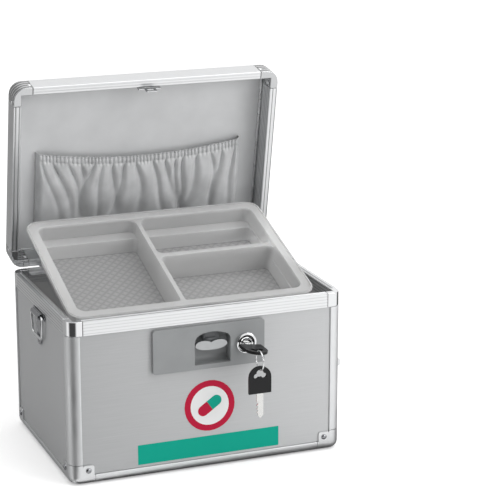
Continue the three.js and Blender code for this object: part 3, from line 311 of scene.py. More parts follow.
@dataclass(frozen=True)
class MouldedPlastic(Finish):
    """Injection moulded plastic: a spark-eroded grain, drawn coarse enough to show, breaks up the gloss."""

    grain: float = 0.9
    depth: float = 0.05
    low: str = ""
    high: str = ""
    gloss: float = 0.5
    cloud: float = 30.0
    spread: float = 0.05
    pull: float = 0.5

    def detail(self, graph: Graph) -> None:
        """Grains the surface, and clouds its colour where it has two.

        Args:
            graph: the finish's nodes and shader.
        """
        graph.feed({"Specular IOR Level": self.gloss})
        place = self.place(graph)
        grain = self.grains(graph, place, self.grain)
        if self.low:
            clouds = self.grains(graph, place, self.cloud)
            graph.feed({"Base Color": self.vary(graph, clouds, self.low, self.high)})
        self.rough(graph, grain, self.spread)
        self.relief(graph, grain, self.depth, self.pull)


@dataclass(frozen=True)
class TrayPlace:
    """Where the tilted tray lies: its front left lip corner and its tilt, in the row frame."""

    corner: Way = (-150.1, -96.18, 185.392)
    tilt: float = math.radians(18)

    def matrix(self) -> Matrix:
        """Takes tray millimetres to the row frame's metres."""
        corner = Vector(self.corner) * MM
        return Matrix.Translation(corner) @ Matrix.Rotation(self.tilt, 4, "X") @ Matrix.Scale(MM, 4)


@dataclass(frozen=True)
class FrostedTray(Finish):
    """Frosted polypropylene: milky, with painted shade that darkens it from the lip down its walls and more
    on its diamond embossed floor.
    """

    tray: TrayPlace = TrayPlace()
    milky: float = 0.66
    index: float = 1.49
    scatter: float = 0.85
    bleed: float = 14.0
    pitch: float = 10.5
    depth: float = 0.8
    pull: float = 0.7
    floor: float = -33.2
    shoulder: Point = (-4.0, -1.0)
    frost: float = 1.5
    spread: float = 0.05
    # painted shade: the walls below the lip, the floor and the emboss lines are drawn darker than the lip
    wall_shade_colour: str = "D0D0D0"
    floor_shade_colour: str = "BCBCBC"
    emboss_shade_colour: str = "A9A9A9"

    def detail(self, graph: Graph) -> None:
        """Lets light through the walls, embosses the floor in the tray's own tilted plane, and paints shade
        below the lip, on the floor and in the emboss lines.

        Args:
            graph: the finish's nodes and shader.
        """
        graph.feed({
            "Alpha": self.milky, "IOR": self.index, "Subsurface Weight": self.scatter,
            "Subsurface Radius": (1.0, 1.0, 1.0), "Subsurface Scale": self.bleed * MM,
        })
        level = graph.add("Mapping", {
            "Vector": graph.add("TexCoord", out="Object"), "Rotation": (self.tray.tilt, 0, 0),
            "Location": [value * MM for value in self.tray.corner],
        }, vector_type="TEXTURE")
        place = graph.add("Mapping", {"Vector": level, "Scale": (1 / MM,) * 3})
        waves = []
        for way in ((1, 1, 0), (1, -1, 0)):
            along = graph.add("VectorMath", {0: place, 1: way}, 1, operation="DOT_PRODUCT")
            wave = self.wave(graph, along, 2 * self.pitch)
            waves.append(graph.add("Math", {0: wave}, operation="ABSOLUTE"))
        emboss = graph.add("Math", {0: waves[0], 1: waves[1]}, operation="MINIMUM")
        height = graph.add("SeparateXYZ", {0: place}, "Z")
        low = graph.add("Math", {0: height, 1: self.floor}, operation="LESS_THAN")
        cut = graph.add("Math", {0: emboss, 1: low}, operation="MULTIPLY")
        self.relief(graph, cut, self.depth, self.pull)
        foot, top = self.shoulder
        raised = graph.add("MapRange", {"Value": height, "From Min": foot, "From Max": top})
        # painted shade: darker walls below the lip, and a darker floor with darker emboss lines
        values = {0: raised, 6: linear(self.wall_shade_colour), 7: linear(self.colour)}
        walls = graph.add("Mix", values, 2, data_type="RGBA")
        values = {0: emboss, 6: linear(self.emboss_shade_colour), 7: linear(self.floor_shade_colour)}
        cells = graph.add("Mix", values, 2, data_type="RGBA")
        graph.feed({"Base Color": graph.add("Mix", {0: low, 6: walls, 7: cells}, 2, data_type="RGBA")})
        self.rough(graph, self.grains(graph, place, self.frost), self.spread)


@dataclass(frozen=True)
class SatinCloth(Finish):
    """Woven satin lining: a soft sheen on the crests of its folds and a fine cross weave."""

    thread: float = 0.9
    shine: float = 0.9
    low: str = "B6B7B8"
    high: str = "CBCCCD"
    sheen: Point = (0.5, 0.4)
    weave: Point = (0.05, 0.3)
    cloud: float = 22.0

    def detail(self, graph: Graph) -> None:
        """Weaves threads along the cloth's own map, in metres.

        Args:
            graph: the finish's nodes and shader.
        """
        weight, width = self.sheen
        graph.feed({"Sheen Weight": weight, "Sheen Roughness": width, "Specular IOR Level": self.shine})
        cloth = graph.add("TexCoord", out="UV")
        ways = [graph.add("SeparateXYZ", {0: cloth}, axis) for axis in "XY"]
        waves = [self.wave(graph, way, self.thread * MM) for way in ways]
        self.relief(graph, graph.add("Math", {0: waves[0], 1: waves[1]}, operation="ADD"), *self.weave)
        clouds = self.grains(graph, self.place(graph), self.cloud)
        graph.feed({"Base Color": self.vary(graph, clouds, self.low, self.high)})


@dataclass(frozen=True)
class Webbing(Finish):
    """Woven polyester webbing: close ribs across its width and a slight chevron."""

    rib: float = 2.0
    chevron: float = 9.5
    sheen: float = 0.3
    weave: Point = (0.25, 0.6)
    fuzz: float = 3.0
    spread: float = 0.08

    def detail(self, graph: Graph) -> None:
        """Ribs the band across its own length, in metres.

        Args:
            graph: the finish's nodes and shader.
        """
        graph.feed({"Sheen Weight": self.sheen})
        cloth = graph.add("TexCoord", out="UV")
        across = graph.add("SeparateXYZ", {0: cloth}, "Y")
        fold = graph.add("Math", {0: across, 1: self.chevron * MM}, operation="PINGPONG")
        slant = graph.add("Math", {0: graph.add("SeparateXYZ", {0: cloth}, "X"), 1: fold}, operation="ADD")
        self.relief(graph, self.wave(graph, slant, self.rib * MM), *self.weave)
        self.rough(graph, self.grains(graph, self.place(graph), self.fuzz), self.spread)


class Look(Enum):
    """Every finish of the box, as the real one is made."""

    # Aluminium laminate on board: fine streaks one way, and on the front a painted shade from dark at the
    # left to bright at the right
    PANEL_X = BrushedSheet("brushed laminate", "B7B8B9", 0.5, 0.3)
    PANEL_Y = BrushedSheet(
        "brushed side laminate", "B0B1B2", 0.5, 0.3, "ADAEAF", "B3B4B5",
        grain=(0.7, 46.0, 0.7), shade_drift_share=0.0,
    )
    # Extruded and anodised aluminium: bright lines along each rail between grooves darkened with painted
    # shade, which on the lid sides and corners stands in for dark reflections too
    RAIL_X = RibbedExtrusion("anodised extrusion", "E3E4E5", 0.3, 1.0)
    RAIL_Y = RibbedExtrusion("anodised extrusion side", "E3E4E5", 0.3, 1.0, (1, 0, 1), groove_shade="9A9B9C")
    LID_RAIL_X = RibbedExtrusion("anodised lid rail", "E3E4E5", 0.3, 1.0, turn=LID_OPEN)
    LID_RAIL_Y = RibbedExtrusion(
        "anodised lid side", "E3E4E5", 0.3, 1.0, (1, 0, 1), LID_OPEN, 4.4, 0.3, "7E7F80"
    )
    # painted reflection and shade: near black grooves stand in for the dark surroundings that polished
    # corners mirror
    LID_CORNER = RibbedExtrusion(
        "polished lid corner", "C4C5C6", 0.1, 1.0, (0, 0, 1), LID_OPEN, 5.6, 0.5, "4A4B4C", 0.4
    )
    # Smooth anodised aluminium: an even satin that blurs what it mirrors
    POST = PolishedMetal("anodised corner post", "DFE0E1", 0.56, 1.0, 30.0)
    FOOT = PolishedMetal("smooth anodised foot", "E4E5E6", 0.42, 1.0, 12.0)
    # Plated steel and brass: chrome mirrors sharply, nickel is softer, and one copy of the plating is drawn
    # darker as painted shade
    CHROME = PolishedMetal("chrome plating", "E4E5E6", 0.08, 1.0)
    SATIN = PolishedMetal("satin nickel plating", "D6D7D8", 0.28, 1.0)
    # painted shade: a darker copy of the nickel plating, for the side ring plates and the foot rivets
    SHADED_PLATING = PolishedMetal("painted shade nickel plating", "9C9DA0", 0.1, 1.0)
    BLADE = PolishedMetal("nickel silver", "DADAD8", 0.25, 1.0, 4.0)
    # Moulded plastic: an even colour whose gloss the mould's grain breaks up
    LOCK_GREY = MouldedPlastic("grey moulded ABS", "8E9091", 0.42, low="8B8D8E", high="919394")
    PADDLE_GREY = MouldedPlastic("pale moulded ABS", "B2B4B5", 0.35)
    # painted shade: a dark grey for the recessed paddle stem and the strike's rim
    SHADE_GREY = MouldedPlastic("painted shade grey ABS", "5E6062", 0.45)
    BLACK = MouldedPlastic("black moulded nylon", "121214", 0.45, grain=1.2, depth=0.08, gloss=0.3)
    # painted shadow: a near black colour laid in the lock bezel's hollow ring
    RING_SHADOW = MouldedPlastic("painted ring shadow", "121213", 0.6)
    LINING = MouldedPlastic("grained liner sheet", "D2D3D4", 0.6, 0.0, 1.6, 0.06, "CFD0D1", "D6D7D8")
    # Printed vinyl: flat colour with little gloss
    RED = MouldedPlastic("red printed vinyl", "B8163A", 0.5, grain=3.0, depth=0.01, gloss=0.15)
    TEAL = MouldedPlastic("teal printed vinyl", "00A08A", 0.5, grain=3.0, depth=0.01, gloss=0.15)
    PALE = MouldedPlastic("pale printed vinyl", "E9E9E9", 0.5, grain=3.0, depth=0.01, gloss=0.15)
    # Frosted plastic: light goes in and comes out soft and milky
    TRAY = FrostedTray("frosted polypropylene", "D8D8D8", 0.3)
    # Woven goods: satin shines on its folds, and pad cloth and webbing stay dull
    CLOTH = SatinCloth("satin pocket cloth", "C0C1C2", 0.28)
    PAD = SatinCloth("black pad cloth", "202022", 0.8, 0.0, 2.2, 0.3, "1C1C1E", "242426")
    WEBBING = Webbing("black woven webbing", "1A1A1C", 0.75)


# Making and placing pieces


def put(name: str, data: Any) -> Object:
    """Makes a scene object of some data.

    Args:
        name: its name.
        data: mesh, curve, light or camera data.

    Returns:
        The object.
    """
    made = bpy.data.objects.new(name, data)
    bpy.context.scene.collection.objects.link(made)
    return made


def written(name: str, mesh: Mesh) -> bpy.types.Mesh:
    """Writes a mesh to named mesh data, and frees it.

    Args:
        name: the data's name.
        mesh: the mesh.

    Returns:
        The data.
    """
    data = bpy.data.meshes.new(name)
    mesh.to_mesh(data)
    mesh.free()
    return data


def evaluated(made: Object) -> Mesh:
    """Copies an object's shape as its modifiers leave it.

    Args:
        made: the object.

    Returns:
        The copy.
    """
    bpy.context.view_layer.update()
    shape = made.evaluated_get(bpy.context.evaluated_depsgraph_get()).to_mesh()
    mesh = bmesh.new()
    mesh.from_mesh(shape)
    return mesh


def standing(point: Vector, out: Vector) -> Matrix:
    """Takes the origin to a point and Z to the way out there."""
    return Matrix.Translation(point) @ Vector((0, 0, 1)).rotation_difference(out).to_matrix().to_4x4()


@dataclass
class Workshop:
    """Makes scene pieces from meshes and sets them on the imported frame."""

    frame: dict[str, Any]
    materials: dict[Look, Material] = field(default_factory=dict)
    merge: float = 0.004
    flat_within: float = 0.6

    def stock(self) -> None:
        """Makes every finish once."""
        self.materials = {look: look.value.make() for look in Look}

    def node(self, name: str) -> Object:
        """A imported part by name."""
        return self.frame["nodes"][name]

    def dress(self, name: str, look: Look) -> None:
        """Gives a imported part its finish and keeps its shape.

        Args:
            name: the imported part.
            look: its finish.
        """
        part = self.node(name)
        part.data.materials.clear()
        part.data.materials.append(self.materials[look])

    def piece(
        self,
        name: str,
        mesh: Mesh,
        looks: Sequence[Look],
        body: str,
        slot: str,
        stands_for: Iterable[str] = (),
        sharp: float = 38.0,
    ) -> Object:
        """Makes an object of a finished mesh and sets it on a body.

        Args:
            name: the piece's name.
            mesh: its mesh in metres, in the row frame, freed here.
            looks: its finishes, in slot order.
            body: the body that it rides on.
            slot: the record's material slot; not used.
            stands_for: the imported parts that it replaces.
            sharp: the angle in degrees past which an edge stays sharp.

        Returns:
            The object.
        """
        data = written(name, mesh)
        data.shade_smooth()
        data.set_sharp_from_angle(angle=math.radians(sharp))
        for look in looks:
            data.materials.append(self.materials[look])
        made = put(name, data)
        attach(made, body)
        for part in stands_for:
            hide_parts(part)
        LOG.info("%s: %d faces on %s", name, len(data.polygons), body)
        return made

    def copy(self, name: str) -> Mesh:
        """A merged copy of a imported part's mesh, its flat faces joined.

        Args:
            name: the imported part.

        Returns:
            The copy.
        """
        mesh = bmesh.new()
        mesh.from_mesh(self.node(name).data)
        bmesh.ops.remove_doubles(mesh, verts=mesh.verts, dist=self.merge * MM)
        limit = math.radians(self.flat_within)
        bmesh.ops.dissolve_limit(mesh, angle_limit=limit, verts=mesh.verts, edges=mesh.edges)
        return mesh

    def soften(self, name: str, look: Look, body: str, slot: str, width: float, segments: int = 2) -> None:
        """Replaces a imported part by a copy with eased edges.

        Args:
            name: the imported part.
            look: its finish.
            body: the body that it rides on.
            slot: the record's material slot.
            width: the bevel's width in millimetres.
            segments: the bevel's steps.
        """
        made = self.piece(f"{name}_finished", self.copy(name), [look], body, slot, [name])
        ease_edges(made, width, segments)


def ease_edges(piece: Object, width: float, segments: int = 2) -> None:
    """Rounds a piece's sharp edges and keeps its flat faces flat in shading.

    Args:
        piece: the object.
        width: the bevel's width in millimetres.
        segments: the bevel's steps.
    """
    bevel = piece.modifiers.new("eased edges", "BEVEL")
    bevel.width = width * MM
    bevel.segments = segments
    bevel.limit_method = "ANGLE"
    bevel.angle_limit = math.radians(40)
    bevel.use_clamp_overlap = True
    piece.data.shade_smooth()
    piece.modifiers.new("flat faces", "WEIGHTED_NORMAL").keep_sharp = False


def thicken(piece: Object, thickness: float, offset: float, even: bool = False) -> None:
    """Gives a sheet its thickness.

    Args:
        piece: the sheet.
        thickness: in millimetres.
        offset: 1 for all of it on the sheet's outer side, 0 for half on either side.
        even: keeps the thickness even round a bend.
    """
    wall = piece.modifiers.new("cloth thickness", "SOLIDIFY")
    wall.thickness = thickness * MM
    wall.offset = offset
    wall.use_even_offset = even


def lay_map(mesh: Mesh, name: str, place: Callable[[bmesh.types.BMVert], Point]) -> None:
    """Gives every corner of a mesh its place on a flat map, in metres.

    Args:
        mesh: the mesh.
        name: the map's name.
        place: gives a vertex its place on the map.
    """
    layer = mesh.loops.layers.uv.new(name)
    for face in mesh.faces:
        for loop in face.loops:
            loop[layer].uv = place(loop.vert)


def rounded(x: Point, y: Point, radius: float, z: float, steps: int = 8) -> list[Vector]:
    """Gives the corners of a rounded rectangle at a height, in order round it.

    Args:
        x: its low and high edges along X.
        y: its low and high edges along Y.
        radius: its corner radius.
        z: its height.
        steps: the steps in each corner.

    Returns:
        The points.
    """
    centres = (
        (x[1] - radius, y[1] - radius), (x[0] + radius, y[1] - radius),
        (x[0] + radius, y[0] + radius), (x[1] - radius, y[0] + radius),
    )
    points = []
    for quarter, centre in enumerate(centres):
        for step in range(steps + 1):
            angle = (quarter + step / steps) * math.pi / 2
            along = centre[0] + radius * math.cos(angle)
            points.append(Vector((along, centre[1] + radius * math.sin(angle), z)))
    return points


def stacked(levels: Sequence[Level]) -> Mesh:
    """Joins rounded rectangles at several heights into one closed solid.

    Args:
        levels: for each level its X range, its Y range, its corner radius and its height.

    Returns:
        The mesh, with its faces outwards.
    """
    mesh = bmesh.new()
    bmesh.ops.create_circle(mesh, cap_ends=True, segments=len(rounded(*levels[0])), radius=1.0)
    mesh.faces.ensure_lookup_table()
    face = mesh.faces[0]
    for i, level in enumerate(levels):
        if i:
            grown = bmesh.ops.extrude_face_region(mesh, geom=[face])["geom"]
            if i > 1:
                bmesh.ops.delete(mesh, geom=[face], context="FACES_ONLY")
            face = next(item for item in grown if isinstance(item, bmesh.types.BMFace))
        for vert, place in zip(face.verts, rounded(*level)):
            vert.co = place
    bmesh.ops.recalc_face_normals(mesh, faces=mesh.faces)
    if mesh.calc_volume(signed=True) < 0:
        bmesh.ops.reverse_faces(mesh, faces=mesh.faces)
    return mesh


def plate(half_x: float, half_y: float, radius: float, low: float, high: float) -> Mesh:
    """Makes a rounded plate about the Z axis, from one height to another.

    Args:
        half_x: half its size along X.
        half_y: half its size along Y.
        radius: its corner radius.
        low: its lower height.
        high: its upper height.

    Returns:
        The plate.
    """
    x = (-half_x, half_x)
    y = (-half_y, half_y)
    return stacked([(x, y, radius, low), (x, y, radius, high)])


def carved(solid: Mesh, *tools: Mesh) -> Mesh:
    """Cuts closed solids out of a closed solid.

    Args:
        solid: what is cut, freed here.
        *tools: what is taken away, freed here.

    Returns:
        The cut mesh.
    """
    objects = [put(f"carve_{i}", written(f"carve_{i}", mesh)) for i, mesh in enumerate((solid, *tools))]
    for tool in objects[1:]:
        cut = objects[0].modifiers.new("cut", "BOOLEAN")
        cut.operation = "DIFFERENCE"
        cut.solver = "EXACT"
        cut.object = tool
    result = evaluated(objects[0])
    for made in objects:
        data = made.data
        bpy.data.objects.remove(made)
        bpy.data.meshes.remove(data)
    return result


def turned(profile: Sequence[Point], axis: Vector, centre: Vector, steps: int = 64) -> Mesh:
    """Spins a closed profile about an axis.

    Args:
        profile: distance from the axis and distance along it, in metres.
        axis: the axis' direction.
        centre: a point on the axis.
        steps: the number of steps round.

    Returns:
        The turned mesh.
    """
    mesh = bmesh.new()
    verts = [mesh.verts.new((radius, 0, along)) for radius, along in profile]
    for a, b in zip(verts, verts[1:] + verts[:1]):
        mesh.edges.new((a, b))
    bmesh.ops.spin(
        mesh, geom=mesh.verts[:] + mesh.edges[:], cent=(0, 0, 0), axis=(0, 0, 1), angle=math.tau,
        steps=steps, use_merge=True,
    )
    bmesh.ops.remove_doubles(mesh, verts=mesh.verts, dist=1e-7)
    bmesh.ops.recalc_face_normals(mesh, faces=mesh.faces)
    bmesh.ops.transform(mesh, matrix=standing(centre, axis), verts=mesh.verts)
    return mesh


def wire(points: Sequence[Vector], radius: float, closed: bool) -> Mesh:
    """Sweeps a round wire along a route.

    Args:
        points: the route in metres.
        radius: the wire's radius in millimetres.
        closed: True for a ring.

    Returns:
        The wire's mesh.
    """
    curve = bpy.data.curves.new("wire", "CURVE")
    curve.dimensions = "3D"
    curve.bevel_depth = radius * MM
    curve.bevel_resolution = 4
    curve.use_fill_caps = True
    spline = curve.splines.new("POLY")
    spline.points.add(len(points) - 1)
    for point, place in zip(spline.points, points):
        point.co = (*place, 1)
    spline.use_cyclic_u = closed
    made = put("wire", curve)
    mesh = evaluated(made)
    bpy.data.objects.remove(made)
    bpy.data.curves.remove(curve)
    bmesh.ops.remove_doubles(mesh, verts=mesh.verts, dist=1e-6)
    bmesh.ops.recalc_face_normals(mesh, faces=mesh.faces)
    return mesh


def domes(places: Sequence[tuple[Vector, Vector]], radius: float, rise: float) -> Mesh:
    """Makes rivet heads.

    Args:
        places: for each head the point on the surface in metres and the way out.
        radius: the head's radius in millimetres.
        rise: how far it stands out in millimetres.

    Returns:
        All the heads in one mesh.
    """
    mesh = bmesh.new()
    for point, out in places:
        verts = bmesh.ops.create_uvsphere(mesh, u_segments=20, v_segments=10, radius=radius * MM)["verts"]
        bmesh.ops.scale(mesh, vec=(1, 1, rise / radius), verts=verts)
        bmesh.ops.transform(mesh, matrix=standing(point, out), verts=verts)
    return mesh


# Sub-assemblies


@dataclass
class CaseShell:
    """The case's frame, caps and panels."""

    shop: Workshop
    half_width: float = 160.0
    half_depth: float = 112.0
    rivet_in: float = 20.5
    rivet_up: float = 16.5
    rivet_radius: float = 3.3
    rivet_rise: float = 2.0
    fine_ease: float = 0.35
    rail_ease: float = 0.5
    cap_ease: float = 0.7

    def foot_rivets(self) -> None:
        """Covers the rivets of the bottom caps with bright domed heads."""
        places = []
        for sx, sy in product((-1, 1), repeat=2):
            front = Vector((sx * (self.half_width - self.rivet_in), sy * self.half_depth, self.rivet_up))
            side = Vector((sx * self.half_width, sy * (self.half_depth - self.rivet_in), self.rivet_up))
            places += [(front * MM, Vector((0, sy, 0))), (side * MM, Vector((sx, 0, 0)))]
        heads = domes(places, self.rivet_radius, self.rivet_rise)
        self.shop.piece("foot_rivets", heads, [Look.SHADED_PLATING], "case", "polished")

    def build(self) -> None:
        """Dresses the frame and the panels."""
        self.foot_rivets()
        for corner in CORNERS:
            self.shop.soften(f"post_{corner}", Look.POST, "case", "rail", self.rail_ease)
            self.shop.soften(f"top_cap_{corner}", Look.CHROME, "case", "polished", self.cap_ease, 3)
            self.shop.soften(f"bottom_cap_{corner}", Look.FOOT, "case", "polished", self.fine_ease)
        for side in SIDES:
            look = Look.RAIL_X if side in ("front", "rear") else Look.RAIL_Y
            self.shop.soften(f"top_rail_{side}", look, "case", "rail", self.fine_ease)
            self.shop.soften(f"bottom_rail_{side}", Look.FOOT, "case", "rail", self.rail_ease)
        for panel in ("base_panel", "rear_panel", "front_panel"):
            self.shop.dress(panel, Look.PANEL_X)
        for panel in ("left_panel", "right_panel"):
            self.shop.dress(panel, Look.PANEL_Y)


@dataclass
class FrontPrint:
    """The plain printed labels on the front: a round one with a capsule, and a bare band."""

    shop: Workshop
    face: float = -110.5
    film: float = 0.14
    disc: Point = (1.6, 72.4)
    outer: float = 29.5
    inner: float = 22.5
    capsule_length: float = 31.0
    capsule_width: float = 12.5
    capsule_turn: float = 35.0
    band_middle: Point = (0.75, 25.6)
    band_length: float = 166.5
    band_width: float = 22.8
    band_corner: float = 0.6
    end_share: float = 0.999
    capsule_end_share: float = 0.998

    def film_mesh(self, centre: Point, size: Point, radius: float, layer: int, turn: float = 0.0) -> Mesh:
        """One flat film with rounded ends on the front panel.

        Args:
            centre: its middle, along X and Z.
            size: its length and its width before it is turned.
            radius: its corner radius.
            layer: how many films lie under it.
            turn: its turn in the panel's plane, in degrees.

        Returns:
            The film's mesh in metres.
        """
        mesh = plate(size[0] / 2, size[1] / 2, radius, layer * self.film, (layer + 1) * self.film)
        stand = Matrix.Rotation(math.radians(90), 4, "X")
        spin = Matrix.Rotation(math.radians(turn), 4, "Z")
        place = Matrix.Translation(Vector((centre[0], self.face, centre[1])) * MM)
        bmesh.ops.transform(mesh, matrix=place @ stand @ spin @ Matrix.Scale(MM, 4), verts=mesh.verts)
        return mesh

    def half_capsule(self, left: bool) -> Mesh:
        """One half of the capsule, cut square across its middle.

        Args:
            left: True for the left half.

        Returns:
            The half's mesh in metres.
        """
        size = (self.capsule_length, self.capsule_width)
        radius = self.capsule_width / 2 * self.capsule_end_share
        mesh = self.film_mesh(self.disc, size, radius, 2, self.capsule_turn)
        result = bmesh.ops.bisect_plane(
            mesh, geom=mesh.verts[:] + mesh.edges[:] + mesh.faces[:],
            plane_co=Vector((self.disc[0], 0, self.disc[1])) * MM,
            plane_no=Matrix.Rotation(math.radians(-self.capsule_turn), 3, "Y") @ Vector((1, 0, 0)),
            clear_outer=left, clear_inner=not left,
        )
        edges = [item for item in result["geom_cut"] if isinstance(item, bmesh.types.BMEdge)]
        bmesh.ops.holes_fill(mesh, edges=edges)
        return mesh

    def build(self) -> None:
        """Lays the films on the front panel."""
        films = {}
        for name, radius, look in (("ring", self.outer, Look.RED), ("centre", self.inner, Look.PALE)):
            size = (2 * radius, 2 * radius)
            films[name] = (self.film_mesh(self.disc, size, radius * self.end_share, len(films)), look)
        for name, look in (("left", Look.RED), ("right", Look.TEAL)):
            films[f"capsule_{name}"] = (self.half_capsule(name == "left"), look)
        size = (self.band_length, self.band_width)
        films["band"] = (self.film_mesh(self.band_middle, size, self.band_corner, 0), Look.TEAL)
        for name, (mesh, look) in films.items():
            self.shop.piece(f"label_{name}", mesh, [look], "case", "brushed_panel")


@dataclass
class FrontLock:
    """The lock plate, its paddle, the barrel with its plug, and the keys on their split ring."""

    shop: Workshop
    centre: Point = (42.8, 142.2)
    face: float = -115.3
    rise: float = 3.0
    body: float = 9.0
    bore: float = 5.8
    back: float = -97.3
    # Distance from the axis, and height against the bezel's front
    bezel_profile: tuple[Point, ...] = (
        (5.8, -0.5), (6.2, -0.2), (7.6, -0.2), (7.9, -1.1), (9.0, -1.1),
        (9.3, 0.0), (10.6, 0.0), (11.5, -0.5), (11.8, -1.3),
    )
    # The painted shadow ring's inner and outer radius, in the bezel's hollow
    shadow_ring: Point = (7.7, 9.2)
    shadow_ring_depth: float = 1.5
    stem_x: float = 4.0
    stem_half: float = 9.1
    stem_low: float = 142.9
    stem_back: Point = (-112.6, -109.9)
    stem_share: float = 0.62
    stem_shift: float = 2.7
    stem_shade_from: Point = (-111.5, 143.4)
    # painted shade: faces behind this depth and above this height take the dark grey
    ring_centre: Point = (-156.4, 134.044)
    ring_radius: float = 11.0
    ring_wire: float = 0.44
    ring_offset: float = 0.45
    ring_crossing: float = 6.0
    ring_start: float = 0.6
    ring_steps: int = 96
    bow_base: float = -127.0
    spare_base: float = 96.656
    housing_ease: float = 0.9
    paddle_ease: float = 0.6
    plug_ease: float = 0.25
    key_ease: float = 0.45

    def barrel(self) -> None:
        """Turns the chrome bezel, with a painted shadow laid in its hollow ring."""
        low = self.face - self.back
        bezel = [(radius, self.rise + under) for radius, under in self.bezel_profile]
        profile = [(self.bore, low), *bezel, (bezel[-1][0], 0), (self.body, 0), (self.body, low)]
        shaped = [(radius * MM, along * MM) for radius, along in profile]
        centre = Vector((self.centre[0], self.face, self.centre[1])) * MM
        mesh = turned(shaped, Vector((0, -1, 0)), centre)
        for face in mesh.faces:
            middle = (face.calc_center_median() - centre) / MM
            in_shadow_ring = self.shadow_ring[0] < math.hypot(middle.x, middle.z) < self.shadow_ring[1]
            # painted shadow: the faces in the bezel's hollow ring take a near black colour
            face.material_index = int(in_shadow_ring and middle.y < -self.shadow_ring_depth)
        looks = [Look.CHROME, Look.RING_SHADOW]
        self.shop.piece("lock_cylinder_turned", mesh, looks, "case", "polished", ["lock_cylinder"])

    def paddle(self) -> None:
        """Sets the paddle's stem back behind its two-lobed pull, paints shade on the stem, and rounds the
        pull.
        """
        mesh = self.shop.copy("latch_paddle")
        for vert in mesh.verts:
            x, y, z = (value / MM for value in vert.co)
            near, far = self.stem_back
            if abs(x - self.stem_x) < self.stem_half and z > self.stem_low and near < y < far:
                vert.co.x = (self.stem_x + (x - self.stem_x) * self.stem_share) * MM
                vert.co.y = (y + self.stem_shift) * MM
        # painted shade: the stem's faces, set back in the recess, take a dark grey
        for face in mesh.faces:
            middle = face.calc_center_median() / MM
            y, z = self.stem_shade_from
            face.material_index = int(middle.y > y and middle.z > z)
        looks = [Look.PADDLE_GREY, Look.SHADE_GREY]
        made = self.shop.piece("latch_pull", mesh, looks, "latch", "paddle_grey", ["latch_paddle"])
        ease_edges(made, self.paddle_ease, 3)

    def key(self, name: str, body: str, in_blade: Callable[[Vector], bool]) -> None:
        """Eases a key's edges and makes its blade metal.

        Args:
            name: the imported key.
            body: the body that it rides on.
            in_blade: tells whether a point, in metres, lies on the blade.
        """
        mesh = self.shop.copy(name)
        for face in mesh.faces:
            face.material_index = int(in_blade(face.calc_center_median()))
        looks = [Look.BLACK, Look.BLADE]
        made = self.shop.piece(f"{name}_finished", mesh, looks, body, "black_plastic", [name])
        ease_edges(made, self.key_ease)

    def split_ring(self) -> None:
        """Winds the split ring from two close turns of wire."""
        y, z = self.ring_centre
        points = []
        for i in range(self.ring_steps + 1):
            share = i / self.ring_steps
            angle = 2 * math.tau * share + self.ring_start
            x = self.centre[0] + self.ring_offset * math.tanh(self.ring_crossing * (share - 0.5))
            across = self.ring_radius * math.cos(angle)
            points.append(Vector((x, y + across, z + self.ring_radius * math.sin(angle))) * MM)
        mesh = wire(points, self.ring_wire, False)
        self.shop.piece("split_ring", mesh, [Look.CHROME], "split_ring", "polished", ["key_ring"])

    def build(self) -> None:
        """Dresses the lock and hangs the keys."""
        self.shop.soften("lock_housing", Look.LOCK_GREY, "case", "lock_grey", self.housing_ease, 3)
        self.paddle()
        self.barrel()
        self.shop.soften("lock_plug", Look.CHROME, "plug", "polished", self.plug_ease)
        self.key("key_in_lock", "lock_key", lambda point: point.y > self.bow_base * MM)
        self.key("spare_key", "spare", lambda point: point.z < self.spare_base * MM)
        self.split_ring()


@dataclass
class SideRings:
    """The plates and the wire rings that the shoulder strap clips to."""

    shop: Workshop
    plane: float = 162.2
    height: float = 165.4
    drop: float = 26.0
    top: float = 48.0
    foot: float = 34.0
    wire_radius: float = 1.5
    bend: float = 6.0
    bend_steps: int = 12
    plate_ease: float = 0.35

    def route(self, side: int) -> list[Vector]:
        """The rounded trapezoid that the wire follows, in metres.

        Args:
            side: -1 for the left ring, 1 for the right.

        Returns:
            The points, in order round it.
        """
        low = self.height - self.drop
        corners = [
            Vector((-self.top / 2, self.height)), Vector((-self.foot / 2, low)),
            Vector((self.foot / 2, low)), Vector((self.top / 2, self.height)),
        ]
        points = []
        for i, corner in enumerate(corners):
            before = (corners[i - 1] - corner).normalized()
            after = (corners[(i + 1) % 4] - corner).normalized()
            trim = self.bend / math.tan(before.angle(after) / 2)
            start = corner + before * trim
            end = corner + after * trim
            for step in range(self.bend_steps + 1):
                share = step / self.bend_steps
                place = start.lerp(corner, share).lerp(corner.lerp(end, share), share)
                points.append(Vector((side * self.plane, place.x, place.y)) * MM)
        return points

    def build(self) -> None:
        """Bends the rings and dresses their plates."""
        for side, name in ((-1, "left"), (1, "right")):
            self.shop.soften(f"ring_plate_{name}", Look.SHADED_PLATING, "case", "polished", self.plate_ease)
            mesh = wire(self.route(side), self.wire_radius, True)
            part = f"side_ring_{name}"
            self.shop.piece(f"{part}_wire", mesh, [Look.CHROME], f"{name}_ring", "polished", [part])


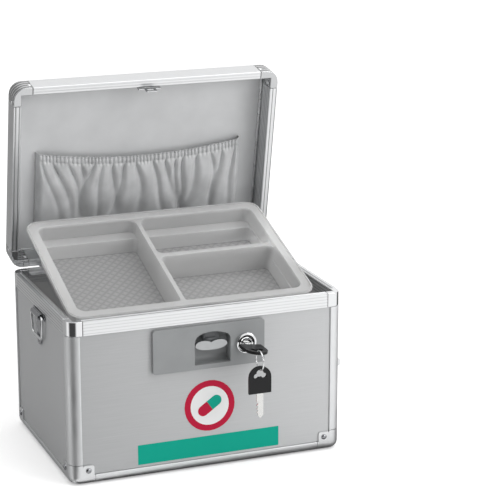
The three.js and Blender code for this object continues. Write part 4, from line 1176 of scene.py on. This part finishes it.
@dataclass
class LidPlace:
    """The lid's own millimetres, drawn as if it were closed, and the way to the row frame."""

    hinge: Point = (114.8, 181.9)
    bottom: float = 186.7
    lining: float = 213.8
    top: float = 218.9

    def matrix(self) -> Matrix:
        """Takes closed lid millimetres to the open lid in metres."""
        pivot = Vector((0, *self.hinge))
        swing = Matrix.Rotation(-LID_OPEN, 4, "X")
        return Matrix.Scale(MM, 4) @ Matrix.Translation(pivot) @ swing @ Matrix.Translation(-pivot)

    def head(self, point: Sequence[float], out: Sequence[float]) -> tuple[Vector, Vector]:
        """Takes a rivet's point and its way out to the open lid, in metres.

        Args:
            point: the point in closed lid millimetres.
            out: the way out there, with the lid closed.

        Returns:
            The point and the way out in the row frame.
        """
        matrix = self.matrix()
        return matrix @ Vector(point), matrix.to_3x3().normalized() @ Vector(out)


@dataclass
class LidShell:
    """The lid's frame, its lining with an edge trim, its rivets and the strike."""

    shop: Workshop
    lid: LidPlace
    half_width: float = 160.0
    half_depth: float = 112.0
    wall: float = 9.0
    rivet_level: float = 9.0
    # Each kind of rivet: how far from the corner along X and Y, then its radius and rise
    inner_in: Point = (19.0, 17.0)
    inner_head: Point = (2.7, 1.4)
    outer_in: Point = (20.0, 20.0)
    outer_head: Point = (2.2, 0.9)
    trim: float = 2.6
    trim_corners: Point = (5.0, 3.0)
    trim_gaps: Point = (0.1, 0.05)
    cut_past: float = 2.0
    strike_ease: float = 0.2
    rail_ease: float = 0.6
    corner_ease: float = 0.7

    def rivets(self) -> None:
        """Sets rivet heads on the inner walls near the corners and on the outer rails."""
        level = self.lid.bottom + self.rivet_level
        inner = []
        outer = []
        for sx, sy in product((-1, 1), repeat=2):
            x, y = self.inner_in
            side = (sx * (self.half_width - self.wall), sy * (self.half_depth - y), level)
            front = (sx * (self.half_width - x), sy * (self.half_depth - self.wall), level)
            inner += [self.lid.head(side, (-sx, 0, 0)), self.lid.head(front, (0, -sy, 0))]
            x, y = self.outer_in
            side = (sx * self.half_width, sy * (self.half_depth - y), level)
            front = (sx * (self.half_width - x), sy * self.half_depth, level)
            outer += [self.lid.head(side, (sx, 0, 0)), self.lid.head(front, (0, sy, 0))]
        for name, places, head in (("inside", inner, self.inner_head), ("outside", outer, self.outer_head)):
            self.shop.piece(f"lid_rivets_{name}", domes(places, *head), [Look.CHROME], "lid", "polished")

    def strike(self) -> None:
        """Paints shade on the strike's rim round its bright face."""
        away = self.lid.head((0, 0, 0), (0, 0, -1))[1]
        mesh = self.shop.copy("lid_strike")
        for face in mesh.faces:
            # painted shade: faces that don't face out from the lining take a dark grey
            face.material_index = int(face.normal.dot(away) <= 0.5)
        looks = [Look.SATIN, Look.SHADE_GREY]
        made = self.shop.piece("strike_finished", mesh, looks, "lid", "satin_steel", ["lid_strike"])
        ease_edges(made, self.strike_ease)

    def lining_trim(self) -> None:
        """Runs a bright channel round the lining where it meets the walls."""
        side_gap, top_gap = self.trim_gaps
        half_x = self.half_width - self.wall - side_gap
        half_y = self.half_depth - self.wall - side_gap
        low = self.lid.lining - self.trim
        high = self.lid.lining - top_gap
        outer, inner = self.trim_corners
        frame = plate(half_x, half_y, outer, low, high)
        hole = plate(half_x - self.trim, half_y - self.trim, inner, low - self.cut_past, high + self.cut_past)
        mesh = carved(frame, hole)
        bmesh.ops.transform(mesh, matrix=self.lid.matrix(), verts=mesh.verts)
        made = self.shop.piece("lining_trim", mesh, [Look.SATIN], "lid", "satin_steel")
        ease_edges(made, self.corner_ease, 3)

    def build(self) -> None:
        """Dresses the lid."""
        for corner in CORNERS:
            self.shop.soften(f"lid_corner_{corner}", Look.LID_CORNER, "lid", "polished", self.corner_ease, 3)
        for side in SIDES:
            look = Look.LID_RAIL_X if side in ("front", "rear") else Look.LID_RAIL_Y
            self.shop.soften(f"lid_rail_{side}", look, "lid", "rail", self.rail_ease)
        self.shop.dress("lid_panel", Look.PANEL_X)
        self.shop.soften("lid_lining", Look.LINING, "lid", "lid_lining", self.rail_ease)
        self.strike()
        self.lining_trim()
        self.rivets()


@dataclass
class LidPocket:
    """The gathered satin pocket on the lid's lining."""

    shop: Workshop
    lid: LidPlace
    half_width: float = 125.0
    seam: float = 88.0
    hem_side: float = -22.0
    hem_middle: float = -10.5
    band: float = 8.0
    mouth: float = 8.0
    belly: float = 9.0
    lift: float = 0.6
    side_share: float = 0.05
    fullness: float = 1.12
    thickness: float = 0.9
    columns: int = 420
    rows: int = 70
    row_power: float = 1.25
    # The drapes' sideways sway and its length, their width at the band and the way down to full width
    wander: Point = (2.6, 15.0)
    drape_start: Point = (1.3, 24.0)
    drape_ends: Point = (5.0, 0.55)
    # Fine ripples and the band's gathers: height, pitch and how far down they reach, then their own sway
    ripple: Way = (0.35, 3.1, 26.0)
    ripple_lean: Point = (2.4, 30.0)
    gather: Way = (0.9, 4.6, 10.0)
    gather_lean: Point = (1.5, 9.0)
    # Each seam's distance from the hem, depth and width
    stitches: tuple[Way, ...] = ((8.0, 1.1, 1.3), (1.8, 0.8, 0.9))
    # Each drape's place across from -1 to 1, lean, width and depth
    drapes: tuple[tuple[float, float, float, float], ...] = (
        (-0.95, 0.28, 3.0, 4.0), (-0.84, 0.34, 4.5, 6.4), (-0.71, 0.30, 3.6, 5.6), (-0.60, 0.16, 5.5, 6.6),
        (-0.47, -0.22, 4.0, 5.6), (-0.37, -0.10, 3.0, 4.2), (-0.26, 0.04, 5.0, 6.0), (-0.14, -0.26, 3.6, 5.6),
        (-0.04, 0.12, 5.6, 6.4), (0.10, 0.30, 3.4, 5.0), (0.22, 0.38, 4.6, 6.6), (0.35, 0.10, 3.2, 5.8),
        (0.44, -0.06, 3.0, 6.2), (0.58, -0.20, 5.0, 5.8), (0.70, 0.08, 3.4, 4.4), (0.80, -0.12, 4.6, 5.2),
        (0.93, -0.05, 3.0, 4.0),
    )

    def valleys(self, x: float, v: float, below: float) -> float:
        """How far the drapes draw the cloth in.

        Args:
            x: place across in millimetres.
            v: place from the hem, 0, to the seam, 1.
            below: distance from the gathered band in millimetres.

        Returns:
            Millimetres.
        """
        sway, swing = self.wander
        narrow, reach = self.drape_start
        onset, fade = self.drape_ends
        total = 0.0
        for place, lean, width, depth in self.drapes:
            centre = place * self.half_width + lean * below + sway * math.sin(below / swing + 9 * place)
            spread = narrow + width * (1 - math.exp(-below / reach))
            opening = (1 - math.exp(-below / onset)) * (1 - v) ** fade
            total += depth * opening * math.exp(-(((x - centre) / spread) ** 2))
        return total

    def rise(self, u: float, v: float, down: float) -> float:
        """How far the cloth stands off the lining.

        Args:
            u: place across, from -1 to 1.
            v: place from the hem, 0, to the seam, 1.
            down: distance from the hem in millimetres.

        Returns:
            Millimetres off the lining.
        """
        inwards = min(1.0, (1 - abs(u)) / self.side_share)
        edge = math.sqrt(inwards * (2 - inwards))
        slack = self.mouth * (1 - v) + self.belly * math.sin(math.pi * v)
        below = max(0.0, down - self.band)
        x = u * self.half_width
        height, pitch, reach = self.ripple
        lean, swing = self.ripple_lean
        ripple = height * math.sin(x / pitch + lean * math.sin(below / swing))
        ripple *= math.exp(-below / reach) * (1 - v)
        height, pitch, reach = self.gather
        lean, swing = self.gather_lean
        gathers = height * math.sin(x * math.tau / pitch + lean * math.sin(x / swing))
        gathers *= math.exp(-((down / reach) ** 6))
        seams = sum(deep * math.exp(-(((down - at) / wide) ** 2)) for at, deep, wide in self.stitches)
        return self.lift + edge * max(0.0, slack - self.valleys(x, v, below) + ripple + gathers - seams)

    def build(self) -> None:
        """Lays the cloth and gathers it."""
        mesh = bmesh.new()
        bmesh.ops.create_grid(mesh, x_segments=self.columns, y_segments=self.rows, size=1.0)
        places = {}
        for vert in mesh.verts:
            u = vert.co.x
            v = ((vert.co.y + 1) / 2) ** self.row_power
            hem = self.hem_middle + (self.hem_side - self.hem_middle) * u * u
            down = (self.seam - hem) * v
            places[vert.index] = (u * self.half_width * self.fullness * MM, down * MM)
            vert.co = (u * self.half_width, hem + down, self.lid.lining - self.rise(u, v, down))
        lay_map(mesh, "cloth", lambda vert: places[vert.index])
        bmesh.ops.transform(mesh, matrix=self.lid.matrix(), verts=mesh.verts)
        bmesh.ops.recalc_face_normals(mesh, faces=mesh.faces)
        name = "pocket_cloth"
        made = self.shop.piece(name, mesh, [Look.CLOTH], "lid", name, ["lid_pocket"], 80.0)
        thicken(made, self.thickness, 1.0)


@dataclass
class Hinge:
    """The long hinge and its screws."""

    shop: Workshop
    face: float = 113.5
    height: float = 174.6
    count: int = 10
    span: float = 230.0
    screw_head: Point = (2.4, 0.9)
    ease: float = 0.2

    def build(self) -> None:
        """Dresses the leaves and sets the screw heads."""
        for name, body in (("case_leaf", "case"), ("lid_leaf", "lid")):
            self.shop.soften(f"hinge_{name}", Look.SATIN, body, "satin_steel", self.ease)
        self.shop.soften("hinge_pin", Look.CHROME, "case", "satin_steel", self.ease)
        places = []
        for i in range(self.count):
            x = -self.span / 2 + self.span * i / (self.count - 1)
            places.append((Vector((x, self.face, self.height)) * MM, Vector((0, 1, 0))))
        self.shop.piece("hinge_screws", domes(places, *self.screw_head), [Look.CHROME], "case", "satin_steel")


@dataclass
class CarryHandle:
    """The folding handle and its brackets on the lid."""

    shop: Workshop
    lid: LidPlace
    span: float = 136.0
    plate_rise: float = 2.3
    # The screws' places from the bracket's middle, then a head's radius and rise
    screw_way: Point = (13.2, 7.2)
    screw_head: Point = (1.9, 0.8)
    handle_ease: float = 0.5
    bracket_ease: float = 0.35

    def build(self) -> None:
        """Dresses the handle and screws down its brackets."""
        self.shop.soften("carry_handle", Look.CHROME, "handle", "polished", self.handle_ease)
        places = []
        for name, side in (("left", -1), ("right", 1)):
            self.shop.soften(f"handle_bracket_{name}", Look.CHROME, "lid", "polished", self.bracket_ease)
            for sx, sy in product((-1, 1), repeat=2):
                x = side * self.span / 2 + sx * self.screw_way[0]
                point = (x, sy * self.screw_way[1], self.lid.top + self.plate_rise)
                places.append(self.lid.head(point, (0, 0, 1)))
        self.shop.piece("bracket_screws", domes(places, *self.screw_head), [Look.SATIN], "lid", "polished")


@dataclass
class Tray:
    """The frosted tray with its stepped walls and three rounded compartments."""

    shop: Workshop
    place: TrayPlace
    width: float = 286.0
    depth: float = 197.0
    lip_thickness: float = 2.2
    lip_corner: float = 16.0
    # Each level's inset from the lip, corner radius, height and further inset at the rear
    blank: tuple[tuple[float, float, float, float], ...] = (
        (13.2, 8.0, -36.0, 16.0), (12.2, 9.0, -21.2, 12.0), (11.0, 10.0, -20.0, 0.0), (10.0, 11.0, -2.2, 0.0)
    )
    well: tuple[Way, ...] = ((12.4, 10.0, -3.0), (12.0, 10.5, -0.9), (10.2, 11.5, 2.0))
    # The hollows from their open top down to the floor
    hollow_heights: tuple[float, ...] = (-2.6, -17.8, -19.0, -31.8, -33.8)
    hollow_radii: tuple[float, ...] = (8.0, 8.0, 7.0, 6.5, 4.5)
    ends: tuple[float, ...] = (12.4, 13.2, 14.4, 15.2, 16.6)
    shelf: tuple[float, ...] = (0.0, 0.0, 12.0, 15.8, 16.0)
    left_wall: tuple[float, ...] = (130.6, 130.2, 130.1, 129.7, 128.4)
    right_wall: tuple[float, ...] = (135.4, 135.8, 135.9, 136.3, 137.6)
    front_wall: tuple[float, ...] = (105.0, 104.3, 104.2, 103.6, 102.4)
    rear_wall: tuple[float, ...] = (111.0, 111.7, 111.8, 112.4, 113.6)
    ease: float = 0.7
    bead_in: float = 1.6
    bead_corner: float = 14.5
    bead_height: float = 0.2
    bead_radius: float = 0.9

    def ring(self, edge: float, radius: float, z: float, rear: float = 0.0) -> Level:
        """One level of the tray, drawn in from its lip, and drawn in further at the rear."""
        return (edge, self.width - edge), (edge, self.depth - edge - rear), radius, z

    def hollows(self) -> list[Mesh]:
        """The three compartments as closed solids, each from its floor to its open top.

        Returns:
            The solids to cut out.
        """
        x_end = [self.width - edge for edge in self.ends]
        y_end = [self.depth - edge - more for edge, more in zip(self.ends, self.shelf)]
        spans = (
            (self.ends, self.left_wall, self.ends, y_end),
            (self.right_wall, x_end, self.ends, self.front_wall),
            (self.right_wall, x_end, self.rear_wall, y_end),
        )
        solids = []
        for x0, x1, y0, y1 in spans:
            levels = list(zip(zip(x0, x1), zip(y0, y1), self.hollow_radii, self.hollow_heights))
            solids.append(stacked(levels[::-1]))
        return solids

    def build(self) -> None:
        """Carves the tray and lays it in its tilted place."""
        lip = [self.ring(0, self.lip_corner, -self.lip_thickness), self.ring(0, self.lip_corner, 0)]
        blank = stacked([self.ring(*level) for level in self.blank] + lip)
        mesh = carved(blank, stacked([self.ring(*level) for level in self.well]), *self.hollows())
        bmesh.ops.transform(mesh, matrix=self.place.matrix(), verts=mesh.verts)
        made = self.shop.piece("frosted_tray", mesh, [Look.TRAY], "tray", "frosted_tray", ["tray"])
        ease_edges(made, self.ease, 3)
        low = self.bead_in
        bead = rounded((low, self.width - low), (low, self.depth - low), self.bead_corner, self.bead_height)
        rim = wire([self.place.matrix() @ point for point in bead], self.bead_radius, True)
        self.shop.piece("tray_rim_bead", rim, [Look.TRAY], "tray", "frosted_tray")


@dataclass
class ShoulderStrap:
    """The folded strap behind the case, with its pad, slider and snap hooks."""

    shop: Workshop
    middle: float = 165.0
    width: float = 38.0
    thickness: float = 2.0
    pitch: float = 3.4
    fold: float = 150.0
    shift: float = 68.0
    layers: int = 5
    lead: float = 66.0
    trail: float = 44.0
    trail_lead: float = 33.0
    tail: float = 18.0
    tail_gap: float = 0.6
    overlap: float = 4.0
    slope: float = 8.0
    wrap_shift: float = 0.9
    bar: float = 2.6
    hook_thickness: float = 5.0
    play: float = 0.4
    keeper_place: float = 43.0
    keeper_length: float = 20.0
    keeper_play: float = 0.35
    bend_steps: int = 12
    ramp_steps: int = 24
    drawn_thinner: float = 0.3
    pad_cuts: int = 23
    pad_corner: float = 0.055
    pad_edge: float = 0.45
    # The sewn channels' depth, place from the middle and width, as shares of half the pad
    pad_channel: Way = (0.1, 0.5, 0.05)
    pad_waist: float = 0.02
    slider_ease: float = 0.6
    hook_ease: float = 1.1

    def wrapped_end(self, run_end: float) -> list[Point]:
        """One end of the band, round a hook's bar, by distance from the bar.

        Args:
            run_end: where the folded-back end stops lying on the band.

        Returns:
            Points of the middle line, as distance from the bar and height.
        """
        floor = self.thickness / 2
        run = floor + self.thickness + self.tail_gap
        top = self.hook_thickness + self.play + self.thickness / 2
        radius = (top - floor) / 2
        centre = (top + floor) / 2
        points = [(self.tail, floor)]
        for step in range(self.bend_steps + 1):
            angle = step / self.bend_steps * math.pi
            points.append((-radius * math.sin(angle) - self.wrap_shift, centre - radius * math.cos(angle)))
        points += [(self.bar, top), (self.bar + self.slope, run)]
        return points + [(run_end, run), (run_end + self.slope, floor)]

    def route(self) -> list[Point]:
        """The band's middle line in (x, z), in millimetres.

        Returns:
            Its points from the left end to the right.
        """
        floor = self.thickness / 2
        half = self.fold / 2
        bend = self.pitch / 2
        left = self.shift - half - self.lead
        right = self.shift + half + self.trail + self.trail_lead
        run_end = self.keeper_place + self.keeper_length / 2 + self.keeper_play
        points = [(left + along, z) for along, z in self.wrapped_end(run_end)]
        for i in range(self.layers - 1):
            way = -1 if i % 2 else 1
            for step in range(self.bend_steps + 1):
                angle = step / self.bend_steps * math.pi
                x = self.shift + way * (half + bend * math.sin(angle))
                points.append((x, floor + i * self.pitch + bend - bend * math.cos(angle)))
        top = floor + (self.layers - 1) * self.pitch
        start = half + self.pitch
        for step in range(self.ramp_steps + 1):
            share = step / self.ramp_steps
            x = self.shift + start + (half + self.trail - start) * share
            points.append((x, floor + (top - floor) * (1 + math.cos(math.pi * share)) / 2))
        end = [(right - along, z) for along, z in self.wrapped_end(self.tail + self.overlap)]
        return points + end[::-1]

    def webbing(self) -> None:
        """Lays the band along its route, with its weave along its own length."""
        route = [Vector(point) for point in self.route()]
        lengths = [0.0]
        for a, b in zip(route, route[1:]):
            lengths.append(lengths[-1] + (b - a).length)
        mesh = bmesh.new()
        bmesh.ops.create_grid(mesh, x_segments=len(route) - 1, y_segments=4, size=1.0)
        places = {}
        for vert in mesh.verts:
            index = round((vert.co.x + 1) / 2 * (len(route) - 1))
            across = vert.co.y * self.width / 2
            places[vert.index] = (lengths[index] * MM, (across + self.width / 2) * MM)
            vert.co = Vector((route[index].x, self.middle + across, route[index].y)) * MM
        lay_map(mesh, "band", lambda vert: places[vert.index])
        part = "strap_webbing"
        made = self.shop.piece("webbing_band", mesh, [Look.WEBBING], "case", "black_webbing", [part], 70.0)
        thicken(made, self.thickness - self.drawn_thinner, 0.0, True)

    def crowned(self, x: float, y: float, z: float) -> Vector:
        """Takes a point of a cube, from -1 to 1, to the pad's crowned shape in the same measure.

        Args:
            x: place across the pad.
            y: place along the pad.
            z: place up the pad.

        Returns:
            The moved point.
        """
        corner = max(0.0, (abs(x) ** 6 + abs(y) ** 6) - 1)
        pull = (1 - self.pad_corner * min(1.0, corner)) * (1 - self.pad_waist * (1 - z * z))
        if z > 0:
            deep, place, wide = self.pad_channel
            dome = math.sqrt(max(0.0, 1 - x ** 8)) * math.sqrt(max(0.0, 1 - y ** 6))
            crown = self.pad_edge + (1 - self.pad_edge) * dome
            z *= crown - deep * math.exp(-((abs(y) - place) / wide) ** 2)
        return Vector((x * pull, y * pull, z))

    def pad(self) -> None:
        """Fills the shoulder pad: a crowned cover with a seam round its middle and sewn channels."""
        low, high = (Vector(corner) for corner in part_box("shoulder_pad"))
        mesh = bmesh.new()
        bmesh.ops.create_cube(mesh, size=1.0)
        bmesh.ops.subdivide_edges(mesh, edges=mesh.edges, cuts=self.pad_cuts, use_grid_fill=True)
        for vert in mesh.verts:
            vert.co = self.crowned(*(2 * vert.co)) * (high - low) / 2 + (low + high) / 2
        lay_map(mesh, "cloth", lambda vert: (vert.co.x, vert.co.y + vert.co.z))
        part = "shoulder_pad"
        made = self.shop.piece("padded_cover", mesh, [Look.PAD], "case", "black_webbing", [part], 80.0)

    def build(self) -> None:
        """Lays the strap and dresses its fittings."""
        self.webbing()
        self.pad()
        self.shop.soften("strap_slider", Look.BLACK, "case", "black_plastic", self.slider_ease)
        for name in ("left", "right"):
            self.shop.soften(f"snap_hook_{name}", Look.CHROME, "case", "polished", self.hook_ease, 3)


@dataclass
class Studio:
    """A pale floor, soft light and the photograph's viewpoint."""

    floor_size: float = 14.0
    floor_drop: float = 0.4
    paper: str = "F4F4F4"
    paper_glow: float = 0.3
    room_level: float = 1.03
    zone_apex: Way = (0.16, 0.112, 0)
    # Each zone's azimuth and height in degrees, near and far cosine, and the share of light at its middle
    dark_zones: tuple[tuple[float, float, float, float, float], ...] = (
        (40.0, 0.0, 0.90, 0.72, 0.03), (152.0, 0.0, 0.88, 0.60, 0.42), (20.0, 52.0, 0.96, 0.87, 0.1),
        (-102.0, 0.0, 0.985, 0.95, 0.1),
    )
    # Each soft box: its name, its place and its size in metres, and its power in watts
    lamps: tuple[tuple[str, Way, Point, float], ...] = (
        ("overhead_box", (0.1, -0.5, 2.3), (2.2, 1.8), 18.0),
        ("front_right_box", (1.7, -2.0, 1.2), (1.2, 1.4), 18.0),
    )
    aim: Way = (0, 0, 0.18)
    eye: Way = (-0.6929, -1.9793, 0.8023)
    tilt: float = 74.59
    turn: float = -21.62
    lens: float = 138.6
    sensor: float = 36.0

    def zones(self, graph: Graph, way: Socket) -> Socket:
        """Gives how bright the room is that way round.

        Args:
            graph: the node tree.
            way: the way out from the case.

        Returns:
            The share of the room's light that comes from there.
        """
        level = 1.0
        for azimuth, height, near, far, dim in self.dark_zones:
            turn = math.radians(azimuth)
            flat = math.cos(math.radians(height))
            centre = (-math.sin(turn) * flat, -math.cos(turn) * flat, math.sin(math.radians(height)))
            facing = graph.add("VectorMath", {0: way, 1: centre}, "Value", operation="DOT_PRODUCT")
            values = {"Value": facing, "From Min": far, "From Max": near, "To Min": 1.0, "To Max": dim}
            shade = graph.add("MapRange", values, interpolation_type="SMOOTHSTEP")
            level = graph.add("Math", {0: shade, 1: level}, operation="MULTIPLY")
        return level

    def floor(self) -> None:
        """Lays white paper just under the case: white to the camera, with the room's zones in the metal."""
        mesh = bmesh.new()
        bmesh.ops.create_grid(mesh, x_segments=1, y_segments=1, size=self.floor_size / 2)
        bmesh.ops.translate(mesh, vec=(0, 0, -self.floor_drop * MM), verts=mesh.verts)
        paper = MouldedPlastic("studio paper", self.paper, 0.9, grain=40.0, depth=0.0).make()
        graph = Graph(paper.node_tree, paper.node_tree.nodes["Principled BSDF"])
        seen = graph.add("LightPath", out="Is Camera Ray")
        place = graph.add("TexCoord", out="Object")
        moved = graph.add("VectorMath", {0: place, 1: self.zone_apex})
        outwards = graph.add("VectorMath", {0: moved}, operation="NORMALIZE")
        white = linear(self.paper)
        values = {0: self.zones(graph, outwards), 6: (0, 0, 0, 1), 7: white}
        zoned = graph.add("Mix", values, 2, data_type="RGBA")
        values = {0: graph.add("LightPath", out="Is Glossy Ray"), 6: white, 7: zoned}
        graph.feed({
            "Base Color": graph.add("Mix", values, 2, data_type="RGBA"), "Emission Color": (1, 1, 1, 1),
            "Emission Strength": graph.add("Math", {0: seen, 1: self.paper_glow}, operation="MULTIPLY"),
        })
        data = written("studio_floor", mesh)
        data.materials.append(paper)
        put("studio_floor", data)

    def world(self) -> None:
        """Surrounds the case with a pale room that is dark at the front left and dim behind left."""
        world = bpy.data.worlds.new("studio")
        bpy.context.scene.world = world
        world.use_nodes = True
        graph = Graph(world.node_tree, world.node_tree.nodes["Background"])
        way = graph.add("TexCoord", out="Generated")
        room = graph.add("Math", {0: self.zones(graph, way), 1: self.room_level}, operation="MULTIPLY")
        rays = [graph.add("LightPath", out=f"Is {kind} Ray") for kind in ("Camera", "Transmission")]
        seen = graph.add("Math", {0: rays[0], 1: rays[1]}, operation="MAXIMUM")
        strength = graph.add("Mix", {0: seen, 2: room, 3: 1.0}, data_type="FLOAT")
        graph.feed({"Color": (1, 1, 1, 1), "Strength": strength})

    def lamp(self, name: str, place: Way, size: Point, power: float) -> None:
        """Hangs one soft box that faces the case.

        Args:
            name: its name.
            place: where it hangs, in metres.
            size: its width and height in metres.
            power: its power in watts.
        """
        light = bpy.data.lights.new(name, "AREA")
        light.shape = "RECTANGLE"
        light.size, light.size_y = size
        light.energy = power
        lamp = put(name, light)
        lamp.location = place
        lamp.rotation_euler = (Vector(self.aim) - Vector(place)).to_track_quat("-Z", "Y").to_euler()

    def build(self) -> None:
        """Sets the stage, the light and the camera."""
        self.floor()
        self.world()
        for lamp in self.lamps:
            self.lamp(*lamp)
        camera = bpy.data.cameras.new("photo_camera")
        camera.lens = self.lens
        camera.sensor_width = self.sensor
        eye = put("photo_camera", camera)
        eye.location = self.eye
        eye.rotation_euler = (math.radians(self.tilt), 0, math.radians(self.turn))
        bpy.context.scene.camera = eye
        bpy.context.scene.view_settings.view_transform = "Standard"


def main() -> None:
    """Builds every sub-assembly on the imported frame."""
    logging.basicConfig(level=logging.INFO, format="%(message)s")
    shop = Workshop(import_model())
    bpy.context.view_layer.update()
    Studio().build()
    shop.stock()
    lid = LidPlace()
    CaseShell(shop).build()
    FrontPrint(shop).build()
    FrontLock(shop).build()
    SideRings(shop).build()
    LidShell(shop, lid).build()
    LidPocket(shop, lid).build()
    Hinge(shop).build()
    CarryHandle(shop, lid).build()
    Tray(shop, Look.TRAY.value.tray).build()
    ShoulderStrap(shop).build()


if __name__ == "__main__":
    main()
